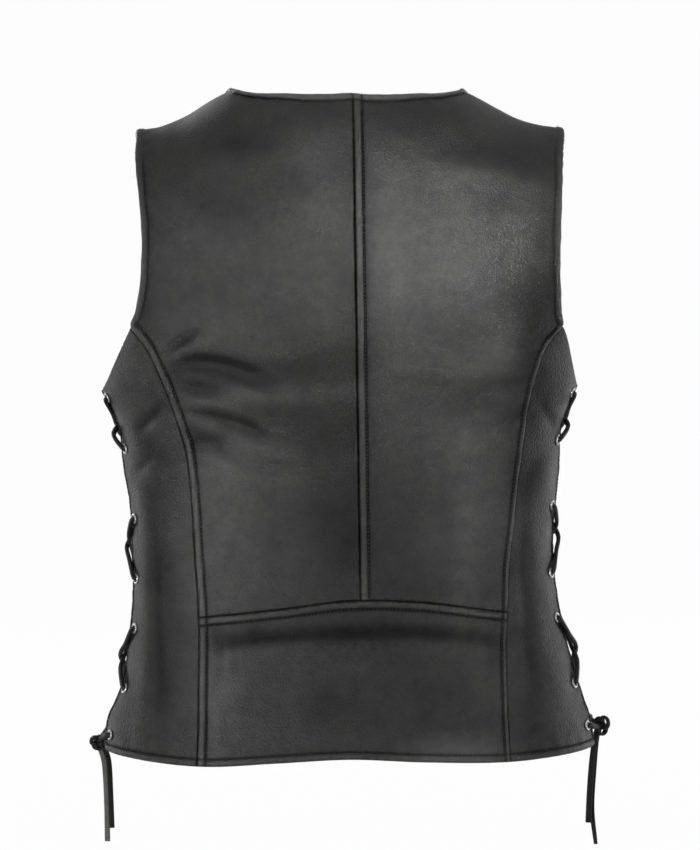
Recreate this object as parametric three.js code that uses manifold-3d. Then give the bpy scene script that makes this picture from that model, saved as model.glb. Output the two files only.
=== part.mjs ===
// A woman's collarless leather vest with laced sides, in the hollow shape it has when it is worn.
// Millimetres, +Z up. The front faces -Y and the back +Y, so the wearer's left is +X.
// The origin lies midway between the shoulders, at the height of the middle of the shoulder slope.
import * as THREE from "three";
import { mergeVertices } from "three/addons/utils/BufferGeometryUtils.js";
import Module from "manifold-3d";

const wasm = await Module();
wasm.setup();

// Driving dimensions.
const WALL = 2; // leather with its backing
const SEAM_GAP = 0.3; // between two pieces that are sewn together
const SQUARENESS = 2.3; // exponent of each ring: 2 is an ellipse, more is squarer
const SHOULDER_ROUND = 70; // radius, front to back, of the sheet where it goes over the shoulder
const SHOULDER_TIP = 178; // half of the width over the shoulders
const NECK_POINT = { left: 97.5, right: 91.5 }; // where the neck opening ends on top of the shoulders
const SEAM_FORWARD = 8; // how far the shoulder seam lies in front of the top of the shoulder
const NECK_BACK_DEPTH = 56.5; // how far behind the shoulder line the back of the neck opening lies
const NECK_SQUARENESS = 2.6;
const NECK_HEIGHT = 20; // about where the neck opening cuts the sheet, for reading its depths
const NECK_CORNER = -203; // height at which the front edges turn from the overlap to the neck edge
const OVERLAP = 13; // how far each front goes past the centre line
const OVERLAP_LIFT = 2.8; // how far the right front lies outside the left one there
const LIFT_WIDTH = 20; // over which it comes down again
const STRIP = 7.2; // a seam allowance, turned to one side and sewn down
const STRIP_RISE = 0.7;
const STRIP_STEP = 0.9;
const HEM_FRONT = -534;
const BAND_MIDDLE = -410; // about the height of the seam on top of the waist band

// The rings of the worn form. Reach to each side, and depth behind and before the shoulder line.
const RINGS = [
  { z: -545, left: 207, right: 208, back: 109, front: 115 },
  { z: -507, left: 204.5, right: 204, back: 103, front: 111 },
  { z: -477, left: 193, right: 193.5, back: 97, front: 106 },
  { z: -436, left: 185.5, right: 182, back: 88, front: 100 },
  { z: -386, left: 183, right: 172, back: 80, front: 96 },
  { z: -340, left: 184, right: 171, back: 76, front: 98 },
  { z: -296, left: 189, right: 175, back: 80, front: 110 },
  { z: -260, left: 194, right: 177, back: 87, front: 122 },
  { z: -226, left: 208.5, right: 189.5, back: 93, front: 126 },
  { z: -180, left: 203, right: 193, back: 98, front: 118 },
  { z: -120, left: 200, right: 198, back: 97, front: 94 },
  { z: -60, left: 200, right: 200, back: 90, front: 78 },
  { z: 60, left: 200, right: 200, back: 74, front: 60 },
];

// The top of the shoulder, out from the centre line. Inside the neck point it is only a guide.
const SHOULDER_LINE = [
  { x: 0, left: 35, right: 35 },
  { x: 50, left: 31.5, right: 30.5 },
  { x: 80, left: 24.5, right: 22 },
  { x: 95, left: 19.3, right: 15.7 },
  { x: 108, left: 12, right: 9.3 },
  { x: 122, left: 3.6, right: 1.5 },
  { x: 138, left: -5.8, right: -6.8 },
  { x: 158, left: -13.2, right: -12 },
  { x: 171, left: -15.8, right: -13.8 },
  { x: 178, left: -18, right: -16.5 },
  { x: 200, left: -42, right: -42 },
  { x: 230, left: -75, right: -75 },
];

// The outer edge of the back, up the curved seam to the armhole and up the armhole to the shoulder.
const BACK_EDGE = [
  { z: -545, left: 125, right: 132 },
  { z: -472, left: 123.9, right: 128.7 },
  { z: -413, left: 124.3, right: 129.3 },
  { z: -362, left: 128, right: 132.3 },
  { z: -307, left: 131.4, right: 138.7 },
  { z: -273, left: 136.8, right: 142.1 },
  { z: -243, left: 145.9, right: 146.4 },
  { z: -215, left: 157.4, right: 152.8 },
  { z: -196, left: 166, right: 159.5 },
  { z: -186, left: 173, right: 167 },
  { z: -177, left: 180.5, right: 175 },
  { z: -165, left: 176.4, right: 174 },
  { z: -135, left: 171.4, right: 172.7 },
  { z: -105, left: 170.8, right: 172.6 },
  { z: -65, left: 174, right: 174.2 },
  { z: -30, left: 177.4, right: 175.4 },
  { z: 0, left: 178, right: 178 },
];
const ARMHOLE_JOIN = -177; // height at which the curved seam meets the armhole
const UNDERARM = { left: -232, right: -227 }; // height of the top corner of each laced edge
const UNDERARM_BEND = { left: 1, right: 1.6 }; // 1 is a straight armhole bottom, more bulges out

// The front edge of the armhole, above the laced edge.
const FRONT_ARMHOLE = [
  { z: -216, left: 187, right: 176 },
  { z: -196, left: 172, right: 165 },
  { z: -165, left: 161, right: 158 },
  { z: -125, left: 158, right: 157 },
  { z: -85, left: 163, right: 163 },
  { z: -45, left: 171, right: 171 },
  { z: -15, left: 177.5, right: 177.5 },
  { z: 10, left: 178, right: 178 },
];

// The inner edge of each front, up from the overlap along the neck edge to the shoulder.
const NECK_EDGE = [
  { z: -203, x: -13 },
  { z: -182, x: 0 },
  { z: -150, x: 20 },
  { z: -100, x: 48 },
  { z: -50, x: 71 },
  { z: 0, x: 88 },
  { z: 50, x: 95 },
];

// How far behind (back) and before (front) the shoulder line the two laced edges lie.
const LACED_EDGES = [
  { z: -545, back: 25, front: 9 },
  { z: -440, back: 18, front: 13 },
  { z: -340, back: 11, front: 19 },
  { z: -226, back: 12, front: 24 },
];

// The height of the back hem, from the right laced edge to the left one.
const HEM_BACK = [
  { x: -210, z: -528 },
  { x: -134, z: -532 },
  { x: -60, z: -530 },
  { x: 0, z: -527.5 },
  { x: 60, z: -531 },
  { x: 123, z: -535.5 },
  { x: 210, z: -532 },
];
// The seam on top of the waist band, and the centre seam that ends in it.
const BAND_TOP = [
  { x: -136, z: -413 },
  { x: -60, z: -402 },
  { x: 0, z: -400.5 },
  { x: 60, z: -408 },
  { x: 126, z: -416 },
];
const CENTRE_SEAM = [
  { z: -410, x: -8.8 },
  { z: 20, x: -2.4 },
];

// The largest soft folds: middle (turn round the body in degrees and height), size, slope and depth.
const FOLDS = [
  { turn: 24, z: -217, long: 62, wide: 14, slope: -7, deep: 3.4 },
  { turn: 27, z: -262, long: 48, wide: 14, slope: -16, deep: 3.4 },
  { turn: -30, z: -240, long: 40, wide: 15, slope: 12, deep: 2.2 },
  { turn: 58, z: -272, long: 24, wide: 14, slope: 40, deep: 2.6 },
  { turn: -58, z: -300, long: 26, wide: 15, slope: -35, deep: 2.4 },
  { turn: 145, z: -330, long: 55, wide: 16, slope: 14, deep: 3 },
  { turn: -148, z: -322, long: 50, wide: 16, slope: -16, deep: 3 },
  { turn: 128, z: -262, long: 34, wide: 14, slope: 32, deep: 2.5 },
  { turn: -130, z: -258, long: 34, wide: 14, slope: -30, deep: 2.5 },
];
const MM_PER_DEGREE = 2.8; // round a ring, near enough for placing folds

// Rows and columns of the panels' grids.
const SEAM_ROWS = 13; // along the curved seam, the same in both panels that meet there
const BACK_ROWS = 10; // above the curved seam
const BAND_COLUMNS = 10;
const BAND_ROWS = 6;
const SIDE_COLUMNS = 6;
const SIDE_ROWS = 5; // beside the waist band
const FRONT_ROWS = { low: 13, corner: 1, high: 10 };
const NECK_SHARES = [0.35, 0.62, 0.8, 0.92, 0.98, 1]; // of the neck point's distance
const SHOULDER_SHARES = [0.22, 0.45, 0.72]; // of the way from the neck point to the shoulder tip
const FRONT_SHARES = [0, 0.061, 0.129, 0.175, 0.22, 0.36, 0.52, 0.67, 0.8, 0.89, 0.95, 0.982, 1];

// Eyelets, from the underarm down.
const EYELET_INSET = 11; // from the laced edge to the middle of an eyelet
const EYELET_HEIGHTS = [
  { left: -237.5, right: -233 },
  { left: -280.5, right: -273 },
  { left: -338.5, right: -327 },
  { left: -388.5, right: -383.5 },
  { left: -429.5, right: -420.5 },
  { left: -479.5, right: -475 },
  { left: -518, right: -510 },
];
const EYELET = { bore: 2.7, barrel: 3.1, hole: 3.4, flange: 4.4, thick: 0.8, off: 0.8, tail: 2.9, sides: 8 };

const SNAP = { radius: 7.2, rim: 1.2, rise: 2.6, off: 0.3, sides: 12, heights: [-219, -309, -399, -489] };

const LACE_RADIUS = 1.7;
const LACE_SIDES = 6;
// How a lace leaves an eyelet: distance towards where it goes, and above the outer or inner face.
const OUT_OF_EYELET = [
  { along: 0.6, off: 2.3 },
  { along: 2.6, off: 3.5 },
];
const INTO_EYELET = [
  { along: 0.6, off: -3.6 },
  { along: 2.6, off: -5.2 },
];
// Offsets of a lace from the form where it passes the laced edges, and where two laces cross.
const LACE_OFF = {
  knotEdge: 4.8,
  topmost: { edge: 3, under: 0.4, over: 4.4 },
  outside: { edge: 2.6, under: -1.6, over: 2.4 },
  inside: { edge: -5.6, under: -4.4, over: -8.4 },
};
const EDGE_SHARE = 0.3; // of the way from one eyelet to the other

const KNOTS = {
  left: { x: 213.5, y: 12, z: -528, radius: 6.6, tall: 7 },
  right: { x: -210, y: 12, z: -513, radius: 6.6, tall: 9 },
};
// The free ends of the laces, from the knot down.
const TAIL_SIDES = 8;
const TAILS = [
  { name: "lace_end_left_long", points: [[211, 10, -535.4], [208, 11, -548], [205.5, 13, -576], [204, 14, -611]] },
  { name: "lace_end_left_short", points: [[208.6, 14.4, -533.6], [204.6, 15.6, -547], [201.6, 17, -572], [200, 18, -599]] },
  { name: "lace_end_right_long", points: [[-208.4, 9.8, -522], [-206, 9.6, -545], [-205.3, 9.8, -578], [-206.5, 10, -614]] },
  { name: "lace_end_right_short", points: [[-206.2, 14.2, -521.45], [-203.6, 14.4, -543], [-201.9, 14.8, -569], [-200.5, 15, -595]] },
];

const lerp = (a, b, share) => a + (b - a) * share;
const clamp01 = (value) => Math.min(1, Math.max(0, value));
const smooth = (value) => clamp01(value) ** 2 * (3 - 2 * clamp01(value));
const even = (count) => Array.from({ length: count + 1 }, (_, i) => i / count);
const degrees = THREE.MathUtils.radToDeg;
const radians = THREE.MathUtils.degToRad;
const sign = { left: 1, right: -1 };

// A smooth curve through one column of a table whose rows are sorted by another column.
function curve(rows, key, column) {
  const at = rows.map((row) => row[key]);
  const value = rows.map((row) => row[column]);
  const last = at.length - 1;
  const slope = at.map((_, i) => {
    const low = Math.max(0, i - 1);
    const high = Math.min(last, i + 1);
    return (value[high] - value[low]) / (at[high] - at[low]);
  });
  return (where) => {
    const x = Math.min(at[last], Math.max(at[0], where));
    let i = 0;
    while (i < last - 1 && x > at[i + 1]) i++;
    const span = at[i + 1] - at[i];
    const t = (x - at[i]) / span;
    const rise = value[i + 1] - value[i];
    const c = slope[i] * span;
    const d = slope[i + 1] * span;
    return value[i] + t * (c + t * (3 * rise - 2 * c - d + t * (c + d - 2 * rise)));
  };
}

const bothSides = (rows, key) => ({ left: curve(rows, key, "left"), right: curve(rows, key, "right") });
const reach = bothSides(RINGS, "z");
const backEdge = bothSides(BACK_EDGE, "z");
const frontArmhole = bothSides(FRONT_ARMHOLE, "z");
const backDepth = curve(RINGS, "z", "back");
const frontDepth = curve(RINGS, "z", "front");
const shoulderLine = bothSides(SHOULDER_LINE, "x");
const neckEdge = curve(NECK_EDGE, "z", "x");
const lacedBack = curve(LACED_EDGES, "z", "back");
const lacedFront = curve(LACED_EDGES, "z", "front");
const hemBack = curve(HEM_BACK, "x", "z");
const bandTop = curve(BAND_TOP, "x", "z");
const centreSeam = curve(CENTRE_SEAM, "z", "x");

// Half of a ring's width. The front is a little narrower than the back, but for its underarm corners.
function halfWidth(side, height, facingFront) {
  const below = 1 - smooth((height + 190) / 40);
  const corner = Math.exp(-(((height + 228) / 16) ** 2));
  return reach[side](height) - (facingFront ? below * (3 - 6 * corner) : 0);
}

// The share of a ring's width that is left at a share of its depth, and the other way round.
const fullness = (share) => Math.max(0, 1 - Math.abs(share) ** SQUARENESS) ** (1 / SQUARENESS);

// The angle round the body, 0 at the centre back and 180 at the centre front, at which a ring is at x.
function turnAtX(x, height, facingFront) {
  const side = x >= 0 ? "left" : "right";
  const share = Math.min(1, Math.abs(x) / halfWidth(side, height, facingFront));
  const angle = degrees(Math.asin(share ** (SQUARENESS / 2)));
  return sign[side] * (facingFront ? 180 - angle : angle);
}

// The angle at which a ring is so far behind (or before) the shoulder line.
function turnAtDepth(side, depth, height, facingFront) {
  const whole = facingFront ? frontDepth(height) : backDepth(height);
  const angle = degrees(Math.acos((depth / whole) ** (SQUARENESS / 2)));
  return sign[side] * (facingFront ? 180 - angle : angle);
}

// How far the soft folds push the sheet in, at a place on the body.
function foldDepth(turn, height) {
  let depth = 0;
  for (const fold of FOLDS) {
    const slope = radians(fold.slope);
    const across = (turn - fold.turn) * MM_PER_DEGREE;
    const up = height - fold.z;
    const along = across * Math.cos(slope) + up * Math.sin(slope);
    const off = up * Math.cos(slope) - across * Math.sin(slope);
    depth += fold.deep * Math.exp(-((along / fold.long) ** 2) - (off / fold.wide) ** 2);
  }
  return depth;
}

// A point of the form. Height is measured up the sheet, so it goes on over the shoulder: the sheet is
// upright up to one shoulder radius below the shoulder line and then follows a quarter round to it.
function formPoint(turn, height) {
  const angle = radians(turn);
  const side = Math.sin(angle) >= 0 ? "left" : "right";
  const facingFront = Math.cos(angle) < 0;
  const half = halfWidth(side, height, facingFront);
  const x = sign[side] * half * Math.abs(Math.sin(angle)) ** (2 / SQUARENESS);
  const bend = shoulderLine[side](Math.abs(x)) - SHOULDER_ROUND;
  const past = Math.max(0, height - bend) / SHOULDER_ROUND;
  const z = Math.min(height, bend) + SHOULDER_ROUND * Math.sin(past);
  const backward = (facingFront ? -1 : 1) * Math.cos(past);
  const depth = backward < 0 ? frontDepth(height) : backDepth(height);
  const y = backward * depth * Math.abs(Math.cos(angle)) ** (2 / SQUARENESS);
  return new THREE.Vector3(x, y, z);
}

// The outward normal of the form.
function formNormal(turn, height) {
  const along = formPoint(turn + 0.4, height).sub(formPoint(turn - 0.4, height));
  const up = formPoint(turn, height + 0.8).sub(formPoint(turn, height - 0.8));
  return up.cross(along).normalize();
}

// A point so far outside the folded sheet.
function sheetPoint(turn, height, out) {
  return formPoint(turn, height).addScaledVector(formNormal(turn, height), out - foldDepth(turn, height));
}

// Height up the sheet of the place where it has gone an angle past the start of the shoulder's round.
const roundHeight = (side, x, angle) => shoulderLine[side](x) - SHOULDER_ROUND + SHOULDER_ROUND * angle;
const SEAM_ANGLE = SEAM_FORWARD / SHOULDER_ROUND;

// The top edge of the back: the neck opening's plan is a squared round, then comes the shoulder seam.
function backTop(side, x) {
  if (x >= NECK_POINT[side]) return roundHeight(side, x, Math.PI / 2 + SEAM_ANGLE) - SEAM_GAP / 2;
  const half = reach[side](NECK_HEIGHT);
  const atSeam = -frontDepth(NECK_HEIGHT) * fullness(NECK_POINT[side] / half) * Math.sin(SEAM_ANGLE);
  const plan = (1 - Math.abs(x / NECK_POINT[side]) ** NECK_SQUARENESS) ** (1 / NECK_SQUARENESS);
  const y = lerp(atSeam, NECK_BACK_DEPTH, plan);
  const whole = y > 0 ? backDepth(NECK_HEIGHT) : frontDepth(NECK_HEIGHT);
  return roundHeight(side, x, Math.acos(y / (whole * fullness(x / half))));
}

// Indices of a closed wall made of an outer and an inner grid of points.
function wallFaces(columns, rows) {
  const faces = [];
  const outer = (i, j) => j * columns + i;
  const inner = (i, j) => columns * rows + outer(i, j);
  const quad = (a, b, c, d) => faces.push(a, b, c, a, c, d);
  const last = columns - 1;
  const top = rows - 1;
  for (let j = 0; j < top; j++)
    for (let i = 0; i < last; i++) {
      quad(outer(i, j), outer(i + 1, j), outer(i + 1, j + 1), outer(i, j + 1));
      quad(inner(i, j), inner(i, j + 1), inner(i + 1, j + 1), inner(i + 1, j));
    }
  for (let i = 0; i < last; i++) {
    quad(inner(i, 0), inner(i + 1, 0), outer(i + 1, 0), outer(i, 0));
    quad(outer(i, top), outer(i + 1, top), inner(i + 1, top), inner(i, top));
  }
  for (let j = 0; j < top; j++) {
    quad(outer(0, j), outer(0, j + 1), inner(0, j + 1), inner(0, j));
    quad(inner(last, j), inner(last, j + 1), outer(last, j + 1), outer(last, j));
  }
  return faces;
}

function signedVolume(points, faces) {
  let volume = 0;
  for (let f = 0; f < faces.length; f += 3) {
    const [a, b, c] = [points[faces[f]], points[faces[f + 1]], points[faces[f + 2]]];
    volume += a.dot(b.clone().cross(c)) / 6;
  }
  return volume;
}

// A closed mesh of points and faces, with the faces turned out.
function closedMesh(points, faces) {
  if (signedVolume(points, faces) < 0) faces.reverse();
  const geometry = new THREE.BufferGeometry().setFromPoints(points);
  geometry.setIndex(faces);
  return geometry;
}

// A leather panel. place(across, up) gives where on the body a grid point is, how far its whole wall
// is lifted, and how far its outer face alone is raised.
function panel(across, up, place) {
  const outside = [];
  const inside = [];
  for (const v of up)
    for (const u of across) {
      const { turn, height, lift = 0, rise = 0 } = place(u, v);
      outside.push(sheetPoint(turn, height, lift + rise));
      inside.push(sheetPoint(turn, height, lift - WALL));
    }
  return closedMesh([...outside, ...inside], wallFaces(across.length, up.length));
}

// Rows in two stretches that share a level: below it and above it.
const stretches = (below, above) => [
  ...even(below).slice(0, -1).map((share) => ({ below: share })),
  ...even(above).map((share) => ({ above: share })),
];

// Distances in from a sewn edge at which its strip begins, steps down and has ended.
const STRIP_MARKS = [0, STRIP - STRIP_STEP, STRIP];
const MARKS_INWARD = [...STRIP_MARKS].reverse();
const stripRise = (distance) => STRIP_RISE * (1 - smooth((distance - STRIP + STRIP_STEP) / STRIP_STEP));

// A half of the back above the waist band. Its columns are set by their distance from the centre seam,
// from the outer edge, or by their x on the shoulder, from which they draw together as it narrows.
function backHalf(side) {
  const seam = (height) => sign[side] * centreSeam(height) + SEAM_GAP / 2;
  const edge = (height) => backEdge[side](height) - SEAM_GAP / 2;
  const inner = (height) => seam(height) + (side === "right" ? STRIP : 0);
  const outer = (height) => edge(height) - STRIP;
  const columns = [
    ...(side === "right" ? STRIP_MARKS : [0]).map((fromSeam) => ({ fromSeam })),
    ...NECK_SHARES.map((share) => ({ onShoulder: share * NECK_POINT[side] })),
    ...SHOULDER_SHARES.map((share) => ({ onShoulder: lerp(NECK_POINT[side], SHOULDER_TIP, share) })),
    ...MARKS_INWARD.map((fromEdge) => ({ fromEdge })),
  ];
  const xAt = ({ fromSeam, fromEdge, onShoulder }, height) => {
    if (fromSeam !== undefined) return seam(height) + fromSeam;
    if (fromEdge !== undefined) return edge(height) - fromEdge;
    return lerp(inner(height), outer(height), (onShoulder - inner(0)) / (outer(0) - inner(0)));
  };
  const place = (column, { below, above }) => {
    const bottom = bandTop(sign[side] * xAt(column, BAND_MIDDLE)) + SEAM_GAP / 2;
    const top = backTop(side, Math.max(0, xAt(column, 0)));
    const whole = roundHeight(side, Math.max(0, xAt(column, 0)), Math.PI / 2 + SEAM_ANGLE);
    const upper = lerp(ARMHOLE_JOIN, whole, above) - (whole - top) * above ** 3;
    const height = below === undefined ? upper : lerp(bottom, ARMHOLE_JOIN, below);
    const x = xAt(column, Math.min(height, 0));
    const onSeam = side === "right" ? stripRise(column.fromSeam ?? STRIP) : 0;
    const onEdge = stripRise(column.fromEdge ?? STRIP);
    return { turn: turnAtX(sign[side] * x, height, false), height, rise: Math.max(onSeam, onEdge) };
  };
  return panel(columns, stretches(SEAM_ROWS, BACK_ROWS), place);
}

// The waist band, with a strip along its top edge and along both of its ends.
function waistBand() {
  const rightEnd = (height) => -backEdge.right(height) + SEAM_GAP / 2;
  const leftEnd = (height) => backEdge.left(height) - SEAM_GAP / 2;
  const columns = [
    ...STRIP_MARKS.map((fromRight) => ({ fromRight })),
    ...even(BAND_COLUMNS).slice(1, -1).map((share) => ({ share })),
    ...MARKS_INWARD.map((fromLeft) => ({ fromLeft })),
  ];
  const rows = [
    ...even(BAND_ROWS).slice(0, -1).map((share) => ({ share })),
    ...MARKS_INWARD.map((fromTop) => ({ fromTop })),
  ];
  const xAt = ({ fromRight, fromLeft, share }, height) => {
    if (fromRight !== undefined) return rightEnd(height) + fromRight;
    if (fromLeft !== undefined) return leftEnd(height) - fromLeft;
    return lerp(rightEnd(height) + STRIP, leftEnd(height) - STRIP, share);
  };
  const place = (column, { fromTop, share }) => {
    const top = bandTop(xAt(column, BAND_MIDDLE)) - SEAM_GAP / 2;
    const hem = hemBack(xAt(column, HEM_FRONT));
    const height = fromTop === undefined ? lerp(hem, top - STRIP, share) : top - fromTop;
    const rise = Math.max(
      stripRise(fromTop ?? STRIP),
      stripRise(column.fromRight ?? STRIP),
      stripRise(column.fromLeft ?? STRIP),
    );
    return { turn: turnAtX(xAt(column, height), height, false), height, rise };
  };
  return panel(columns, rows, place);
}

// The panel from the curved seam to the back laced edge. Its top edge is the bottom of the armhole.
function sidePanel(side) {
  const turnAt = (across, height) => {
    const seam = turnAtX(sign[side] * (backEdge[side](height) + SEAM_GAP / 2), height, false);
    return lerp(seam, turnAtDepth(side, lacedBack(height), height, false), across);
  };
  const level = bandTop(sign[side] * backEdge[side](BAND_MIDDLE));
  const xAt = (across, height) => Math.abs(formPoint(turnAt(across, height), height).x);
  const join = xAt(0, ARMHOLE_JOIN);
  const corner = xAt(1, UNDERARM[side]);
  // The height of the top follows x, which itself depends on the height.
  const topAt = (across) => {
    let height = lerp(ARMHOLE_JOIN, UNDERARM[side], across);
    for (let i = 0; i < 8; i++) {
      const share = clamp01((xAt(across, height) - join) / (corner - join)) ** UNDERARM_BEND[side];
      height = lerp(height, lerp(ARMHOLE_JOIN, UNDERARM[side], share), 0.6);
    }
    return height;
  };
  const tops = new Map(even(SIDE_COLUMNS).map((across) => [across, topAt(across)]));
  const place = (across, { below, above }) => {
    const hem = hemBack(formPoint(turnAt(across, HEM_FRONT), HEM_FRONT).x);
    const top = tops.get(across);
    const height = below === undefined ? lerp(level, top, above) : lerp(hem, level, below);
    return { turn: turnAt(across, height), height };
  };
  return panel(even(SIDE_COLUMNS), stretches(SIDE_ROWS, SEAM_ROWS), place);
}

// A front. Its inner edge is straight up to the neck corner and then the neck edge, and its outer edge
// is the front laced edge and then the armhole.
function frontPanel(side) {
  const outer = (height) => {
    if (height > UNDERARM[side]) return frontArmhole[side](height);
    return halfWidth(side, height, true) * fullness(lacedFront(height) / frontDepth(height));
  };
  const rows = [
    ...even(FRONT_ROWS.low).slice(0, -1).map((share) => ({ from: "hem", share })),
    ...even(FRONT_ROWS.corner).slice(0, -1).map((share) => ({ from: "underarm", share })),
    ...even(FRONT_ROWS.high).map((share) => ({ from: "neck", share })),
  ];
  const place = (across, { from, share }) => {
    const topX = lerp(NECK_POINT[side], SHOULDER_TIP, across);
    const top = roundHeight(side, topX, Math.PI / 2 - SEAM_ANGLE) - SEAM_GAP / 2;
    const height = {
      hem: lerp(HEM_FRONT, UNDERARM[side], share),
      underarm: lerp(UNDERARM[side], NECK_CORNER, share),
      neck: lerp(NECK_CORNER, top, share),
    }[from];
    const between = lerp(neckEdge(height), outer(height), across);
    const x = from === "neck" ? lerp(between, topX, share ** 6) : between;
    const lift = side === "right" ? OVERLAP_LIFT * (1 - smooth((x - OVERLAP - 1.5) / LIFT_WIDTH)) : 0;
    return { turn: turnAtX(sign[side] * x, height, true), height, lift };
  };
  return panel(FRONT_SHARES, rows, place);
}

// A closed geometry as a solid for cutting, and back.
function toSolid(geometry) {
  const bare = geometry.clone();
  bare.deleteAttribute("normal");
  bare.deleteAttribute("uv");
  const merged = mergeVertices(bare, 1e-4);
  const vertProperties = new Float32Array(merged.attributes.position.array);
  const triVerts = new Uint32Array(merged.index.array);
  return new wasm.Manifold(new wasm.Mesh({ numProp: 3, vertProperties, triVerts }));
}

function toGeometry(solid) {
  const mesh = solid.getMesh();
  const geometry = new THREE.BufferGeometry();
  geometry.setAttribute("position", new THREE.BufferAttribute(new Float32Array(mesh.vertProperties), 3));
  geometry.setIndex(new THREE.BufferAttribute(new Uint32Array(mesh.triVerts), 1));
  return geometry;
}

// Where an eyelet stands: on the form, with its axis along the normal.
function eyeletFrame(side, edge, row) {
  const height = EYELET_HEIGHTS[row][side];
  const facingFront = edge === "front";
  const depth = (facingFront ? lacedFront : lacedBack)(height) + EYELET_INSET;
  const turn = turnAtDepth(side, depth, height, facingFront);
  return { turn, height, point: sheetPoint(turn, height, 0), normal: formNormal(turn, height) };
}

// Turns a mesh's or geometry's own Y axis to a frame's normal, at the frame's point.
function standOn(frame, thing) {
  const turned = new THREE.Quaternion().setFromUnitVectors(new THREE.Vector3(0, 1, 0), frame.normal);
  thing.applyMatrix4(new THREE.Matrix4().makeRotationFromQuaternion(turned).setPosition(frame.point));
  return thing;
}

const ROWS = EYELET_HEIGHTS.map((_, row) => row);

function withEyeletHoles(geometry, side, edge) {
  let solid = toSolid(geometry);
  for (const row of ROWS) {
    const drill = new THREE.CylinderGeometry(EYELET.hole, EYELET.hole, 6 * WALL, EYELET.sides);
    solid = solid.subtract(toSolid(standOn(eyeletFrame(side, edge, row), drill)));
  }
  return toGeometry(solid);
}

function eyelet() {
  const { bore, barrel, flange, thick, off, tail, sides } = EYELET;
  const profile = [
    [bore, -tail],
    [barrel, -tail],
    [barrel, off],
    [flange, off],
    [bore, off + thick],
    [bore, -tail],
  ];
  return new THREE.LatheGeometry(profile.map(([r, y]) => new THREE.Vector2(r, y)), sides);
}

function snapCap() {
  const { radius, rim, rise, sides } = SNAP;
  const dome = [0.8, 0.45].map((share) => [radius * share, rim + (rise - rim) * Math.sqrt(1 - share ** 2)]);
  const profile = [[0, 0], [radius, 0], [radius, rim], ...dome, [0, rise]];
  return new THREE.LatheGeometry(profile.map(([r, y]) => new THREE.Vector2(r, y)), sides);
}

// A tube with one ring at each point of its route, each ring turned as little as possible.
function tube(route, radius, sides) {
  const way = (i) => route[i + 1].clone().sub(route[i]).normalize();
  const last = route.length - 1;
  const points = [];
  const faces = [];
  let across = new THREE.Vector3(0, 0, 1);
  route.forEach((point, i) => {
    const tangent = way(Math.max(0, i - 1)).add(way(Math.min(last - 1, i))).normalize();
    across = across.addScaledVector(tangent, -across.dot(tangent)).normalize();
    const beside = tangent.clone().cross(across);
    for (let k = 0; k < sides; k++) {
      const angle = (2 * Math.PI * k) / sides;
      const spoke = across.clone().multiplyScalar(Math.cos(angle)).addScaledVector(beside, Math.sin(angle));
      points.push(point.clone().addScaledVector(spoke, radius));
    }
  });
  for (let i = 0; i < last; i++)
    for (let k = 0; k < sides; k++) {
      const [a, b] = [i * sides + k, i * sides + ((k + 1) % sides)];
      faces.push(a, b, b + sides, a, b + sides, a + sides);
    }
  for (let k = 1; k < sides - 1; k++) faces.push(0, k + 1, k, last * sides, last * sides + k, last * sides + k + 1);
  return closedMesh(points, faces);
}

// Points of a lace close to an eyelet, on its way to or from a place.
function nearEyelet(frame, towards, steps) {
  const way = towards.clone().sub(frame.point);
  way.addScaledVector(frame.normal, -way.dot(frame.normal)).normalize();
  return steps.map(({ along, off }) =>
    frame.point.clone().addScaledVector(way, along).addScaledVector(frame.normal, off));
}

// The stretch of a lace from one eyelet to another, without the eyelets' own middles.
function laceSpan(from, to, offsets, level) {
  const steps = offsets.edge > 0 ? OUT_OF_EYELET : INTO_EYELET;
  const at = (share, off) => {
    const base = formPoint(lerp(from.turn, to.turn, share), lerp(from.height, to.height, share));
    const out = from.normal.clone().lerp(to.normal, share).normalize();
    return base.addScaledVector(out, off);
  };
  return [
    ...nearEyelet(from, to.point, steps),
    at(EDGE_SHARE, offsets.edge),
    at(0.5, offsets[level]),
    at(1 - EDGE_SHARE, offsets.edge),
    ...nearEyelet(to, from.point, steps).reverse(),
  ];
}

// The stretch of a lace from a knot to its lowest eyelet.
function laceFromKnot(side, frame, edge) {
  const { x, y, z, radius } = KNOTS[side];
  const knot = new THREE.Vector3(x, y, z);
  const depth = (edge === "front" ? lacedFront : lacedBack)(frame.height);
  const turn = turnAtDepth(side, depth, frame.height, edge === "front");
  const overEdge = formPoint(turn, frame.height - 3).addScaledVector(frame.normal, LACE_OFF.knotEdge);
  const start = knot.clone().add(overEdge.clone().sub(knot).setLength(radius + 2 * SEAM_GAP));
  return [start, overEdge, ...nearEyelet(frame, overEdge, OUT_OF_EYELET).reverse()];
}

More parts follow.
